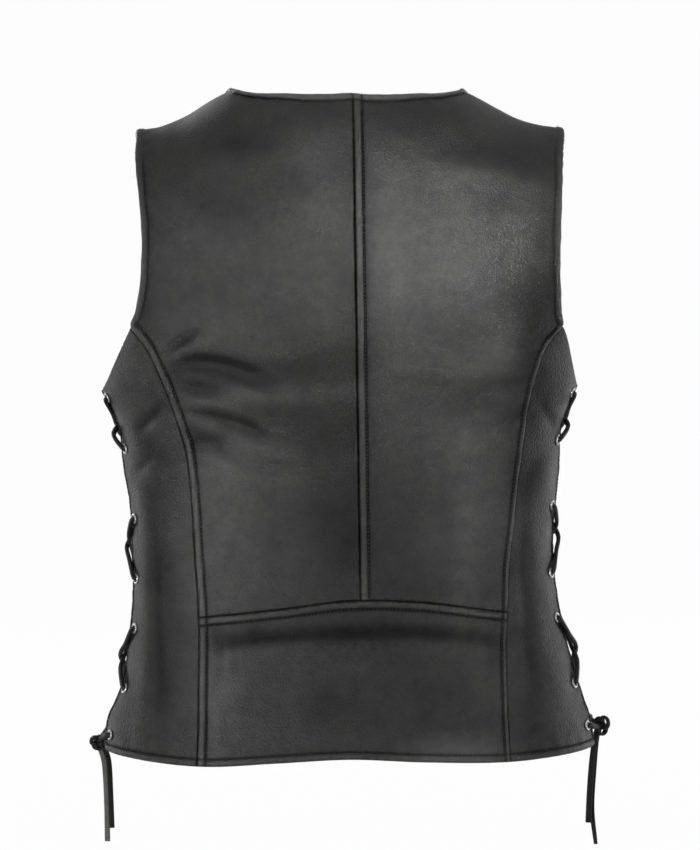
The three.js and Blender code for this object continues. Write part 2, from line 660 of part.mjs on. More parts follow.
// The whole lace of one side. It starts in the knot, goes in through the lowest back eyelet, up from
// edge to edge to the top, straight across inside, and down again to the lowest front eyelet.
function laceRoute(side) {
  const bottom = ROWS.length - 1;
  const other = { back: "front", front: "back" };
  const stops = [];
  let edge = "back";
  for (let row = bottom; row >= 0; row--) {
    stops.push({ row, edge });
    edge = other[edge];
  }
  edge = other[stops[bottom].edge];
  for (let row = 0; row <= bottom; row++) {
    stops.push({ row, edge });
    edge = other[edge];
  }
  const frames = stops.map((stop) => eyeletFrame(side, stop.edge, stop.row));
  const route = [...laceFromKnot(side, frames[0], "back"), frames[0].point];
  for (let i = 1; i < frames.length; i++) {
    const goingUp = i <= bottom;
    const upper = Math.min(stops[i - 1].row, stops[i].row);
    const outside = upper % 2 === 0 && stops[i].row !== stops[i - 1].row;
    const level = goingUp === (upper % 4 < 2) ? "over" : "under";
    const offsets = LACE_OFF[outside ? (upper === 0 ? "topmost" : "outside") : "inside"];
    route.push(...laceSpan(frames[i - 1], frames[i], offsets, level));
    route.push(frames[i].point);
  }
  return [...route, ...laceFromKnot(side, frames.at(-1), "front").reverse()];
}

function knot(side) {
  const { radius, tall } = KNOTS[side];
  const profile = even(8).map((share) => {
    const angle = Math.PI * (share - 0.5);
    return new THREE.Vector2(radius * Math.cos(angle), tall * Math.sin(angle));
  });
  profile[0].x = 0;
  profile[8].x = 0;
  const geometry = new THREE.LatheGeometry(profile, 12);
  return geometry.rotateX(Math.PI / 2);
}

function tail(points) {
  const route = new THREE.CatmullRomCurve3(points.map((point) => new THREE.Vector3(...point)));
  const section = new THREE.Shape().absarc(0, 0, LACE_RADIUS, 0, 2 * Math.PI);
  const steps = Math.ceil(route.getLength() / (5 * LACE_RADIUS));
  const settings = { steps, extrudePath: route, curveSegments: TAIL_SIDES };
  return new THREE.ExtrudeGeometry(section, settings);
}

const FINISHES = {
  leather: { color: 0x232323, roughness: 0.5, metalness: 0 },
  lace: { color: 0x101010, roughness: 0.55, metalness: 0 },
  steel: { color: 0x9a9a96, roughness: 0.3, metalness: 1 },
};

const vest = new THREE.Group();

function add(name, geometry, finish) {
  const mesh = new THREE.Mesh(geometry, new THREE.MeshStandardMaterial(FINISHES[finish]));
  mesh.name = name;
  vest.add(mesh);
  return mesh;
}

add("waist_band", waistBand(), "leather");
for (const side of ["left", "right"]) {
  add(`back_${side}`, backHalf(side), "leather");
  add(`side_${side}`, withEyeletHoles(sidePanel(side), side, "back"), "leather");
  add(`front_${side}`, withEyeletHoles(frontPanel(side), side, "front"), "leather");
  for (const edge of ["back", "front"])
    for (const row of ROWS)
      standOn(eyeletFrame(side, edge, row), add(`eyelet_${side}_${edge}_${row + 1}`, eyelet(), "steel"));
  add(`lace_${side}`, tube(laceRoute(side), LACE_RADIUS, LACE_SIDES), "lace");
  add(`knot_${side}`, knot(side), "lace").position.set(KNOTS[side].x, KNOTS[side].y, KNOTS[side].z);
}
SNAP.heights.forEach((height, i) => {
  const frame = { point: sheetPoint(180, height, OVERLAP_LIFT + SNAP.off), normal: formNormal(180, height) };
  standOn(frame, add(`snap_${i + 1}`, snapCap(), "steel"));
});
for (const { name, points } of TAILS) add(name, tail(points), "lace");

export default vest;
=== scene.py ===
"""A black leather vest with laced sides, filled out as when it is worn. It is looked at from behind."""
import math
import bpy
import numpy as np
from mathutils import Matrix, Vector


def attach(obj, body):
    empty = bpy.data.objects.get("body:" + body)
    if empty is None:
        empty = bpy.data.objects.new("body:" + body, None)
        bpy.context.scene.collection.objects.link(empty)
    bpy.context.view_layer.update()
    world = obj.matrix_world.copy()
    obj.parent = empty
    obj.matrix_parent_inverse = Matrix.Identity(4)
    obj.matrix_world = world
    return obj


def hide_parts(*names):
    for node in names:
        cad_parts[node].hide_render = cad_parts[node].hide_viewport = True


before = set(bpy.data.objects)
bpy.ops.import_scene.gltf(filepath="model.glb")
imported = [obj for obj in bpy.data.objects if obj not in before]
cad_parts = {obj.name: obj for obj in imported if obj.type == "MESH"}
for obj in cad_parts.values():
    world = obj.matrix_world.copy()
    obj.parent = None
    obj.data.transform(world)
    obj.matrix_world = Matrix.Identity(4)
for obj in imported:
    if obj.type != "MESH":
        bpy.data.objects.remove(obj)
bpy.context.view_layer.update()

# Sizes in millimetres, as in the part's source. A mesh is brought to metres when it is made.
METRE = 0.001
WALL = 1.9
SEAM_GAP = -0.25  # sewn edges are pressed together
SQUARENESS = 2.3
SHOULDER_ROUND = 70
SHOULDER_TIP = 178
NECK_POINT = {"left": 97.5, "right": 91.5}
SEAM_FORWARD = 8
NECK_BACK_DEPTH = 56.5
NECK_SQUARENESS = 2.6
NECK_HEIGHT = 20
NECK_CORNER = -203
OVERLAP = 13
OVERLAP_LIFT = 2.8
LIFT_WIDTH = 20
HEM_FRONT = -534
BAND_MIDDLE = -410
ARMHOLE_JOIN = -177
UNDERARM = {"left": -232, "right": -227}
UNDERARM_BEND = {"left": 1, "right": 1.6}
EYELET_INSET = 11
DEGREE = 2.8  # how far round the sheet one degree goes, near enough for placing folds


def table(columns, *rows):
    """Rows of values by the names of their columns."""
    return [dict(zip(columns.split(), row)) for row in rows]


RINGS = table(
    "z left right back front",
    (-545, 207, 208, 109, 115), (-507, 204.5, 204, 103, 111), (-477, 193, 193.5, 97, 106),
    (-436, 185.5, 182, 88, 100), (-386, 183, 172, 80, 96), (-340, 184, 171, 76, 98),
    (-296, 189, 175, 80, 110), (-260, 194, 177, 87, 122), (-226, 208.5, 189.5, 93, 126),
    (-180, 203, 193, 98, 118), (-120, 200, 198, 97, 94), (-60, 200, 200, 90, 78),
    (60, 200, 200, 74, 60),
)
SHOULDER_LINE = table(
    "x left right",
    (0, 35, 35), (50, 31.5, 30.5), (80, 24.5, 22), (95, 19.3, 15.7), (108, 12, 9.3), (122, 3.6, 1.5),
    (138, -5.8, -6.8), (158, -13.2, -12), (171, -15.8, -13.8), (178, -18, -16.5), (200, -42, -42),
    (230, -75, -75),
)
BACK_EDGE = table(
    "z left right",
    (-545, 125, 132), (-472, 123.9, 128.7), (-413, 124.3, 129.3), (-362, 128, 132.3),
    (-307, 131.4, 138.7), (-273, 136.8, 142.1), (-243, 145.9, 146.4), (-215, 157.4, 152.8),
    (-196, 166, 159.5), (-186, 173, 167), (-177, 180.5, 175), (-165, 176.4, 174), (-135, 171.4, 172.7),
    (-105, 170.8, 172.6), (-65, 174, 174.2), (-30, 177.4, 175.4), (0, 178, 178),
)
FRONT_ARMHOLE = table(
    "z left right",
    (-216, 187, 176), (-196, 172, 165), (-165, 161, 158), (-125, 158, 157), (-85, 163, 163),
    (-45, 171, 171), (-15, 177.5, 177.5), (10, 178, 178),
)
NECK_EDGE = table(
    "z x",
    (-203, -13), (-182, 0), (-150, 20), (-100, 48), (-50, 71), (0, 88), (50, 95),
)
LACED_EDGES = table(
    "z back front",
    (-545, 25, 9), (-440, 18, 13), (-340, 11, 19), (-226, 12, 24),
)
HEM_BACK = table(
    "x z",
    (-210, -528), (-134, -532), (-60, -530), (0, -527.5), (60, -531), (123, -535.5), (210, -532),
)
BAND_TOP = table(
    "x z",
    (-136, -413), (-60, -402), (0, -400.5), (60, -408), (126, -416),
)
CENTRE_SEAM = table(
    "z x",
    (-410, -8.8), (20, -2.4),
)
FOLDS = table(
    "turn z long wide slope deep",
    (24, -217, 62, 14, -7, 3.4),
    (27, -262, 48, 14, -16, 3.4),
    (-30, -240, 40, 15, 12, 2.2),
    (58, -272, 24, 14, 40, 2.6),
    (-58, -300, 26, 15, -35, 2.4),
    (145, -330, 55, 16, 14, 3),
    (-148, -322, 50, 16, -16, 3),
    (128, -262, 34, 14, 32, 2.5),
    (-130, -258, 34, 14, -30, 2.5),
)
EYELET_HEIGHTS = table(
    "left right",
    (-237.5, -233), (-280.5, -273), (-338.5, -327), (-388.5, -383.5), (-429.5, -420.5), (-479.5, -475),
    (-518, -510),
)

SIGN = {"left": 1, "right": -1}


def lerp(a, b, share):
    """The place a share of the way from a to b."""
    return a + (b - a) * share


def smooth(value):
    """A soft step: three times the square less twice the cube, between 0 and 1."""
    value = np.clip(value, 0, 1)
    return value * value * (3 - 2 * value)


def curve(rows, key, column):
    """A cubic between each two rows of a table, whose slope at a row is that across its neighbours."""
    at = np.array([row[key] for row in rows], float)
    value = np.array([row[column] for row in rows], float)
    low = np.maximum(np.arange(len(at)) - 1, 0)
    high = np.minimum(np.arange(len(at)) + 1, len(at) - 1)
    slope = (value[high] - value[low]) / (at[high] - at[low])

    def read(where):
        x = np.clip(np.asarray(where, float), at[0], at[-1])
        i = np.clip(np.searchsorted(at, x, side="right") - 1, 0, len(at) - 2)
        span = at[i + 1] - at[i]
        t = (x - at[i]) / span
        rise = value[i + 1] - value[i]
        c = slope[i] * span
        d = slope[i + 1] * span
        return value[i] + t * (c + t * (3 * rise - 2 * c - d + t * (c + d - 2 * rise)))

    return read


def both(rows, key):
    """One curve for each side."""
    return {side: curve(rows, key, side) for side in SIGN}


reach = both(RINGS, "z")
back_edge = both(BACK_EDGE, "z")
front_armhole = both(FRONT_ARMHOLE, "z")
shoulder_line = both(SHOULDER_LINE, "x")
back_depth = curve(RINGS, "z", "back")
front_depth = curve(RINGS, "z", "front")
neck_edge = curve(NECK_EDGE, "z", "x")
laced = {"back": curve(LACED_EDGES, "z", "back"), "front": curve(LACED_EDGES, "z", "front")}
hem_back = curve(HEM_BACK, "x", "z")
band_top = curve(BAND_TOP, "x", "z")
centre_seam = curve(CENTRE_SEAM, "z", "x")


def half_width(side, height, front):
    """Half of a ring's width: the table's reach, on the front 3 less below the armhole but at its corner."""
    below = 1 - smooth((height + 190) / 40)
    corner = np.exp(-(((height + 228) / 16) ** 2))
    return reach[side](height) - np.where(front, below * (3 - 6 * corner), 0)


def fullness(share):
    """The share of a ring's width left at a share of its depth: the ring is a squared ellipse."""
    return np.maximum(0, 1 - np.abs(share) ** SQUARENESS) ** (1 / SQUARENESS)


def turn_at_x(x, height, front):
    """The angle round the body, 0 at the centre back and 180 at the centre front, where a ring is at x."""
    half = np.where(x >= 0, half_width("left", height, front), half_width("right", height, front))
    angle = np.degrees(np.arcsin(np.minimum(1, np.abs(x) / half) ** (SQUARENESS / 2)))
    return np.where(x >= 0, 1, -1) * np.where(front, 180 - angle, angle)


def turn_at_depth(side, depth, height, front):
    """The angle where a ring is so far behind or before the shoulder line."""
    whole = front_depth(height) if front else back_depth(height)
    angle = np.degrees(np.arccos((depth / whole) ** (SQUARENESS / 2)))
    return SIGN[side] * (180 - angle if front else angle)


def form_point(turn, height):
    """A ring point at the height, bent over the shoulder: above one radius below the shoulder line the
    height is measured on along a round of that radius, and the depth shrinks by its cosine."""
    angle = np.radians(turn)
    front = np.cos(angle) < 0
    left = np.sin(angle) >= 0
    half = np.where(left, half_width("left", height, front), half_width("right", height, front))
    x = np.where(left, 1, -1) * half * np.abs(np.sin(angle)) ** (2 / SQUARENESS)
    line = np.where(left, shoulder_line["left"](np.abs(x)), shoulder_line["right"](np.abs(x)))
    bend = line - SHOULDER_ROUND
    past = np.maximum(0, height - bend) / SHOULDER_ROUND
    z = np.minimum(height, bend) + SHOULDER_ROUND * np.sin(past)
    backward = np.where(front, -1, 1) * np.cos(past)
    depth = np.where(backward < 0, front_depth(height), back_depth(height))
    y = backward * depth * np.abs(np.cos(angle)) ** (2 / SQUARENESS)
    return np.stack(np.broadcast_arrays(x, y, z), -1)


def unit(vectors):
    """Each vector over its length."""
    return vectors / np.maximum(1e-9, np.linalg.norm(vectors, axis=-1, keepdims=True))


def form_normal(turn, height):
    """The cross product of the steps up the sheet and round it."""
    along = form_point(turn + 0.4, height) - form_point(turn - 0.4, height)
    up = form_point(turn, height + 0.8) - form_point(turn, height - 0.8)
    return unit(np.cross(up, along))


def cloth_place(turn, height):
    """Millimetres round and up the sheet."""
    return np.stack(np.broadcast_arrays(turn * DEGREE, height), -1)


def fold_depth(turn, height):
    """The large soft folds of the source: each a bell along and across its own slope."""
    depth = np.zeros(np.broadcast(turn, height).shape)
    for fold in FOLDS:
        slope = math.radians(fold["slope"])
        across = (turn - fold["turn"]) * DEGREE
        up = height - fold["z"]
        along = across * math.cos(slope) + up * math.sin(slope)
        off = up * math.cos(slope) - across * math.sin(slope)
        depth = depth + fold["deep"] * np.exp(-((along / fold["long"]) ** 2) - (off / fold["wide"]) ** 2)
    return depth


# Creases: on the back or front, from one place over a second to a third (x and z), half of
# the width of the trough, and its depth. A ridge swells on one side.
CREASES = table(
    "face x z wide deep",
    ("back", (150, 139, 122), (-194, -188, -178), 4.5, 2.2),
    ("back", (143, 112, 62), (-212, -206, -226), 6.5, 3.6),
    ("back", (136, 121, 102), (-226, -229, -228), 5, 1.6),
    ("back", (133, 104, 60), (-250, -252, -274), 5.5, 2.8),
    ("back", (128, 112, 88), (-270, -276, -292), 6, 1.4),
    ("back", (176, 164, 152), (-262, -252, -240), 4.5, 2.2),
    ("back", (180, 170, 163), (-300, -292, -280), 5, 1),
    ("back", (163, 158, 151), (-318, -420, -524), 11, 1.5),
    ("back", (-145, -147, -150), (-325, -420, -520), 10, 1.3),
    ("back", (108, 86, 62), (-24, -27, -34), 9, 1.1),
    ("back", (-60, -112, -166), (-34, -31, -44), 11, 1.3),
    ("back", (-92, -128, -160), (-66, -72, -88), 12, 0.8),
    ("back", (150, 120, 96), (-60, -74, -96), 12, 0.8),
    ("back", (38, 22, 12), (-190, -290, -396), 17, 1.5),
    ("back", (72, 60, 58), (-300, -350, -400), 12, 0.8),
    ("back", (-40, -46, -52), (-250, -320, -398), 16, 0.9),
    ("back", (-88, -84, -90), (-300, -350, -402), 13, 0.8),
    ("back", (-150, -120, -86), (-226, -222, -236), 6, 0.9),
    ("back", (-146, -126, -104), (-252, -254, -266), 6, 0.8),
    ("back", (-170, -163, -156), (-262, -252, -240), 4.5, 1),
    ("back", (110, 106, 108), (-420, -445, -478), 4, 0.8),
    ("back", (97, 95, 92), (-423, -440, -462), 3.5, 0.6),
    ("back", (80, 79, 76), (-414, -428, -446), 3.5, 0.5),
    ("back", (104, 101, 103), (-482, -502, -520), 4.5, 0.7),
    ("back", (119, 62, -12), (-436, -428, -424), 5.5, 2.3),
    ("back", (16, -66, -126), (-425, -425, -436), 5.5, 2.4),
    ("back", (-112, -114, -110), (-424, -452, -480), 5, 0.7),
    ("back", (-96, -98, -97), (-420, -436, -452), 3.5, 0.5),
    ("back", (-60, -62, -58), (-470, -492, -515), 8, 0.6),
    ("back", (20, 18, 22), (-450, -480, -512), 10, 0.7),
    ("front", (170, 140, 104), (-246, -240, -222), 6.5, 1.8),
    ("front", (172, 146, 118), (-268, -270, -262), 6, 1.2),
    ("front", (-165, -138, -102), (-243, -240, -226), 6.5, 1.7),
    ("front", (-160, -138, -116), (-268, -272, -262), 6, 1.1),
    ("front", (128, 118, 112), (-300, -380, -470), 16, 1.5),
    ("front", (-126, -118, -110), (-300, -385, -475), 16, 1.4),
    ("front", (60, 66, 64), (-300, -370, -440), 14, 1),
    ("front", (-64, -70, -66), (-300, -370, -445), 14, 1),
    ("front", (25, 44, 62), (-330, -322, -326), 6, 0.9),
    ("front", (-22, -44, -60), (-344, -338, -340), 6, 0.8),
    ("front", (24, 40, 52), (-410, -404, -408), 5, 0.7),
    ("front", (-24, -38, -54), (-396, -402, -398), 5, 0.7),
    ("front", (120, 108, 92), (-60, -80, -110), 12, 0.9),
    ("front", (-122, -110, -94), (-56, -76, -104), 12, 0.9),
    ("front", (170, 166, 164), (-380, -430, -500), 9, 1),
    ("front", (-166, -162, -160), (-380, -430, -500), 9, 1),
)


# Painted light and shade on the back, as zones where the hide is made darker and duller or lighter and
# shinier: the middle, the half size and how much.
PAINTED_LIGHT_ZONES = table(
    "x z wide tall more",
    (-160, -165, 24, 48, -0.45),
    (-143, -260, 15, 95, -0.4),
    (-167, -230, 16, 45, -0.35),
    (-8, -375, 58, 85, -0.35),
    (-5, -95, 38, 62, 0.3),
    (-28, -105, 15, 62, 0.4),
    (108, -490, 17, 50, 0.65),
    (-88, -524, 40, 13, 1.3),
    (-114, -468, 14, 24, 0.35),
    (70, -62, 48, 40, -0.3),
    (-118, -20, 30, 26, 0.3),
    (159, -360, 14, 90, -0.3),
    (-80, -190, 50, 40, -0.2),
    (-92, -345, 14, 75, 0.35),
    (105, -275, 22, 32, 0.45),
    (0, -429, 130, 9, -0.3),
    (-90, -112, 50, 42, 0.35),
    (-140, -92, 14, 30, 0.55),
    (-117, -195, 16, 30, 0.2),
    (-92, -245, 18, 28, 0.25),
    (-167, -320, 14, 36, 0.3),
    (50, -165, 40, 30, -0.25),
    (118, -350, 32, 60, 0.25),
)
# How much painted shade darkens a sewn line, 0.95 where no edge is named, and how much painted highlight
# lies on each strip.
LINE_SHADE = {"laced": 0.35, "hem": 0.6, "armhole": 0.8}
STRIP_HIGHLIGHT = {"neck": 2.4, "centre": 0.6, "curved": 0.4, "armhole": 0.35, "hem": 0.3, "band": 0.2}


def painted_light_at(points):
    """The sum of the zones of painted light and shade: each a bell across and up. The front has none."""
    total = np.zeros(len(points))
    for zone in PAINTED_LIGHT_ZONES:
        across = ((points[:, 0] - zone["x"]) / zone["wide"]) ** 2
        total += zone["more"] * np.exp(-across - ((points[:, 2] - zone["z"]) / zone["tall"]) ** 2)
    return total * smooth(points[:, 1] / 30 + 0.5)


def crease_relief(turn, height):
    """Troughs and ridges. Each follows a line bent through three places. Across it the trough is a bell,
    with a lower bell of the other sign beside it, and along it both fade from the middle to the ends."""
    here = cloth_place(turn, height)
    flat = here.reshape(-1, 2)
    out = np.zeros(len(flat))
    t = np.linspace(0, 1, 17)
    for crease in CREASES:
        front = crease["face"] == "front"
        z = np.array(crease["z"], float)
        place = cloth_place(turn_at_x(np.array(crease["x"], float), z, front), z)
        a, b, c = place[0], 2 * place[1] - 0.5 * (place[0] + place[2]), place[2]
        line = np.outer((1 - t) ** 2, a) + np.outer(2 * t * (1 - t), b) + np.outer(t * t, c)
        margin = 4 * crease["wide"]
        box = np.all((flat > line.min(0) - margin) & (flat < line.max(0) + margin), 1)
        if not box.any():
            continue
        some = flat[box]
        start = line[:-1]
        step = line[1:] - start
        rel = some[:, None] - start[None]
        share = np.clip((rel * step).sum(2) / (step * step).sum(1), 0, 1)
        away = rel - share[..., None] * step
        dist = np.hypot(away[..., 0], away[..., 1])
        near = dist.argmin(1)
        pick = np.arange(len(some))
        along = (near + share[pick, near]) / len(start)
        side = np.sign(step[near, 0] * rel[pick, near, 1] - step[near, 1] * rel[pick, near, 0])
        d = dist[pick, near] / crease["wide"]
        fade = np.sin(np.pi * np.clip(0.06 + 0.88 * along, 0, 1)) ** 0.8
        out[box] += crease["deep"] * fade * (0.3 * np.exp(-((d * side - 1.9) / 1.2) ** 2) - np.exp(-d * d))
    return out.reshape(here.shape[:-1])


# Long waves over the whole hide: the direction, length, phase and height of each.
WAVES = [
    (0.2, 92, 0.4, 0.24), (1.3, 71, 1.9, 0.22), (2.2, 58, 4.1, 0.16),
    (0.9, 43, 2.6, 0.11), (2.8, 36, 0.9, 0.08), (1.7, 27, 5.2, 0.05),
]


def hand_waves(turn, height):
    """The slight unevenness of real hide: a sum of long sines in several directions."""
    total = 0
    for angle, length, phase, tall in WAVES:
        along = turn * DEGREE * math.cos(angle) + height * math.sin(angle)
        total = total + tall * np.sin(2 * np.pi * along / length + phase)
    return total


def seam_valley(turn, height):
    """The two halves of the back are crowned, so that their seam lies in a valley: a bell across the seam,
    which fades out at the neck and at the waist band."""
    x = form_point(turn, height)[..., 0] - centre_seam(height)
    fade = smooth((height + 402) / 60) * smooth((20 - height) / 70) * (np.abs(turn) < 90)
    return -2.0 * fade * np.exp(-((x / 21) ** 2))


def relief(turn, height):
    """All that moves the sheet in or out of the plain form, besides seams and edges."""
    soft = crease_relief(turn, height) + hand_waves(turn, height)
    return 1.25 * soft + seam_valley(turn, height) - fold_depth(turn, height)


# Meshes.
def make_piece(name, points, faces, material, inner=None, groups=None):
    """A smooth mesh object at the origin, from points in millimetres and lists of corners."""
    mesh = bpy.data.meshes.new(name)
    mesh.from_pydata((points * METRE).tolist(), [], faces)
    mesh.materials.append(material)
    if inner is not None:
        mesh.materials.append(inner)
        mesh.polygons.foreach_set("material_index", groups.astype(np.int32))
    mesh.polygons.foreach_set("use_smooth", np.ones(len(faces), bool))
    mesh.update()
    piece = bpy.data.objects.new(name, mesh)
    bpy.context.collection.objects.link(piece)
    return piece


def grid_faces(rows, columns, closed=False):
    """Four corners of every cell of a grid of points, row after row; a closed grid's last column meets
    its first."""
    i = np.arange(columns if closed else columns - 1)
    j = np.arange(rows - 1)[:, None]
    after = (i + 1) % columns
    cells = [j * columns + i, j * columns + after, (j + 1) * columns + after, (j + 1) * columns + i]
    return np.stack(np.broadcast_arrays(*cells), -1).reshape(-1, 4)


def paint(piece, name, values):
    """Keeps one number a point with the mesh, for its material."""
    layer = piece.data.attributes.new(name, "FLOAT", "POINT")
    layer.data.foreach_set("value", values.astype(np.float32).ravel())


def lengths_along(line):
    """How far along a line each of its places is: the sum of the steps before it."""
    return np.concatenate([[0], np.cumsum(np.linalg.norm(np.diff(line, axis=0), axis=1))])


FAR = 22  # beyond this, the distance from a line makes no difference
RUN = 60  # how many places of a line are set against the points at a time


def from_line(points, line):
    """How far each point is from a line of places, and how far along the line its nearest place is."""
    near = np.full(len(points), 1e3)
    along = np.zeros(len(points))
    lengths = lengths_along(line)
    for k in range(0, len(line), RUN):
        part = line[k:k + RUN + 1]
        box = np.all((points > part.min(0) - FAR) & (points < part.max(0) + FAR), 1)
        if not box.any():
            continue
        gap = np.linalg.norm(points[box][:, None] - part[None], axis=2)
        best = gap.argmin(1)
        dist = gap[np.arange(len(best)), best]
        where = np.flatnonzero(box)
        closer = dist < near[where]
        near[where[closer]] = dist[closer]
        along[where[closer]] = lengths[k + best[closer]]
    return near, along


def evenly(line, step):
    """The same line with places at even steps along it."""
    lengths = lengths_along(line)
    at = np.linspace(0, lengths[-1], max(2, int(round(lengths[-1] / step)) + 1))
    return np.stack([np.interp(at, lengths, line[:, k]) for k in range(3)], -1)


def sheet_place(points):
    """The angle and height up the sheet of points near the form: below the shoulder's round the height is
    z, and on it the round's arc, whose sine is the rise over the radius. The angle follows from x."""
    x, y, z = points[..., 0], points[..., 1], points[..., 2]
    line = np.where(x >= 0, shoulder_line["left"](np.abs(x)), shoulder_line["right"](np.abs(x)))
    bend = line - SHOULDER_ROUND
    arc = np.arcsin(np.clip((z - bend) / SHOULDER_ROUND, 0, 1))
    height = np.where(z > bend, bend + SHOULDER_ROUND * arc, z)
    return turn_at_x(x, height, y < 0), height


STRIP_RISE = 0.85
CORNER_RISE = 1.6  # several layers lie on one another where the neck edge meets the shoulder seam
EDGE_ROUND = 1.7
EDGE_DROP = 1.45
STITCH = 3.2  # from stitch to stitch
SEAMS = {"centre", "band", "curved", "shoulder"}
# The right curved seam is the fainter one: for each piece beside it, the name of its edge there.
FAINT_SEAM = {"back_right_leather": "curved", "side_right_leather": "curved", "waist_band_leather": "centre"}


def bell(distance, width):
    """A bell round nothing: e to the power of less the square of the distance over the width."""
    return np.exp(-((distance / width) ** 2))


def leather_panel(name, turn, height, edges, strips, sewn, lift=0):
    """A panel as a closed thin shell on a grid of (angle, height). Its outer face stands on the form by
    its lift, plus the strips of turned leather along some edges, plus the creases, less the groove of
    each sewn line and less a curve down along every edge, which falls by a power of the share left. The
    inner face follows a wall deeper. Rubbed edges are painted on the points, and so is painted shade in
    seams, sewn lines and crease troughs, with painted light and shade zones and painted highlights on
    strips."""
    rows, columns = turn.shape
    base = form_point(turn, height).reshape(-1, 3)
    normal = form_normal(turn, height).reshape(-1, 3)
    lifted = np.broadcast_to(lift, turn.shape).reshape(-1)
    gaps = {key: from_line(base, evenly(form_point(*edge), 1.2)) for key, edge in edges.items()}
    nearest = np.min([gap for gap, _ in gaps.values()], axis=0)
    drop = EDGE_DROP * (1 - np.clip(nearest / EDGE_ROUND, 0, 1)) ** 1.8

    seam_shade, rise, pucker, groove, pressed = np.zeros((5, len(base)))
    # Painted shade along the seams, fainter beside the right curved seam.
    for key in SEAMS & set(gaps):
        strength = 0.4 if key == FAINT_SEAM.get(name) else 0.85
        seam_shade = np.maximum(seam_shade, strength * bell(gaps[key][0], 1.05))
    # Painted light and shade zones, and painted highlights along the turned strips.
    painted_light = painted_light_at(base)
    for key, width in strips.items():
        gap, along = gaps[key]
        painted_light += STRIP_HIGHLIGHT.get(key, 0) * bell(gap - 0.5 * width, 0.36 * width)
        crown = 0.75 + 0.5 * np.sin(np.pi * np.clip(gap / width, 0, 1))
        rise = np.maximum(rise, STRIP_RISE * crown * (1 - smooth((gap - width + 0.5) / 1.3)))
        wave = np.sin(along / 2.3) + 0.8 * np.sin(along / 4.1 + 1.3) + 0.7 * np.sin(along / 7.7 + 0.4)
        pucker += 0.17 * wave * bell(gap - width - 2, 6)
    if "neck" in gaps and "shoulder" in gaps:
        rise += CORNER_RISE * bell(gaps["neck"][0] + gaps["shoulder"][0], 9)
    # Each sewn line sinks a groove, and pressed holds the painted shade along it.
    for key, line in sewn.items():
        gap, along = from_line(base, line)
        groove += 0.85 * bell(gap, 1.15) * (0.8 + 0.2 * np.cos(2 * np.pi * along / STITCH))
        pressed = np.maximum(pressed, LINE_SHADE.get(key, 0.95) * bell(gap, 1.25))
    soft = relief(turn, height).reshape(-1)
    outer = lifted + rise + pucker + soft - groove - drop
    inner = lifted - WALL + soft + 0.4 * drop
    outside = base + normal * outer[:, None]
    inside = base + normal * np.minimum(inner, outer - 0.06)[:, None]

    ring = np.concatenate([
        np.arange(columns),
        np.arange(1, rows) * columns + columns - 1,
        (rows - 1) * columns + np.arange(columns - 2, -1, -1),
        np.arange(rows - 2, 0, -1) * columns,
    ])
    after = np.roll(ring, -1)
    rim = np.stack([after, ring, ring + len(base), after + len(base)], -1)
    skin = grid_faces(rows, columns)
    faces = np.concatenate([skin, skin[:, ::-1] + len(base), rim])
    groups = np.concatenate([np.zeros(len(skin)), np.ones(len(skin)), np.zeros(len(rim))])
    # A grid whose columns go to the wearer's right as seen from outside is turned over.
    if (np.cross(outside[1] - outside[0], outside[columns] - outside[0]) @ normal[0]) < 0:
        faces = faces[:, ::-1]
    piece = make_piece(name, np.concatenate([outside, inside]), faces.tolist(), LEATHER, FLESH_SIDE, groups)

    worn = np.clip(rise / STRIP_RISE * bell(nearest - 1.2, 1.6), 0, 1)
    worn = np.maximum(worn, 0.5 * bell(nearest - 1, 1)) + 0.35 * np.clip(soft, 0, 1)
    # Painted shade: darker in crease troughs, along seams and along sewn lines.
    deep = 0.55 * np.clip(-soft / 3, 0, 1) + np.maximum(seam_shade, pressed)
    paint(piece, "worn", np.tile(np.clip(worn, 0, 1), 2))
    paint(piece, "deep", np.tile(np.clip(deep, 0, 1), 2))
    paint(piece, "painted_light", np.tile(np.clip(painted_light, -0.8, 2.5), 2))
    return piece


def stitches(name, lines, lifts):
    """Thread stitches along sewn lines: each a bead with round ends, 2.3 long, half sunk. Its section is a
    round that shrinks to nothing at both ends by the root of one less the fourth power."""
    sides, rings = 5, 5
    along = np.linspace(-1, 1, rings)[:, None]
    around = np.linspace(0, 2 * np.pi, sides, endpoint=False)
    wide = 0.36 * np.sqrt(np.maximum(0.02, 1 - along**4))
    bead = np.stack(np.broadcast_arrays(1.15 * along, wide * np.cos(around), wide * np.sin(around)), -1)
    bead = bead.reshape(-1, 3)
    round_faces = grid_faces(rings, sides, True)
    first = np.arange(sides)
    all_points, all_faces, caps, count = [], [], [], 0
    for line, lift in zip(lines, lifts):
        middle = evenly(line, STITCH)
        way = unit(np.gradient(middle, axis=0))
        middle = 0.5 * (middle[1:] + middle[:-1])
        way = unit(way[1:] + way[:-1])
        turn, height = sheet_place(middle)
        normal = form_normal(turn, height)
        out = relief(turn, height) + lift
        beside = unit(np.cross(normal, way))
        axes = np.stack([way, beside, np.cross(way, beside)], 1)
        centre = form_point(turn, height) + normal * out[:, None]
        points = centre[:, None] + np.einsum("pk,nkc->npc", bead, axes)
        offset = count + np.arange(len(points))[:, None] * len(bead)
        all_points.append(points.reshape(-1, 3))
        all_faces.append((round_faces[None] + offset[..., None]).reshape(-1, 4))
        caps += [first[::-1] + offset, first + (rings - 1) * sides + offset]
        count += len(points) * len(bead)
    faces = np.concatenate(all_faces).tolist() + np.concatenate(caps).tolist()
    piece = make_piece(name, np.concatenate(all_points), faces, THREAD)
    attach(piece, "root")
    return piece


# Grid lines lie this far from an edge, close together where its round and its strip are.
NEAR_EDGE = np.array([0, 0.1, 0.3, 0.6, 0.95, 1.5, 2.4, 3.6, 4.8, 5.8, 6.5, 7.2, 7.9, 9])
CELL = 2.2


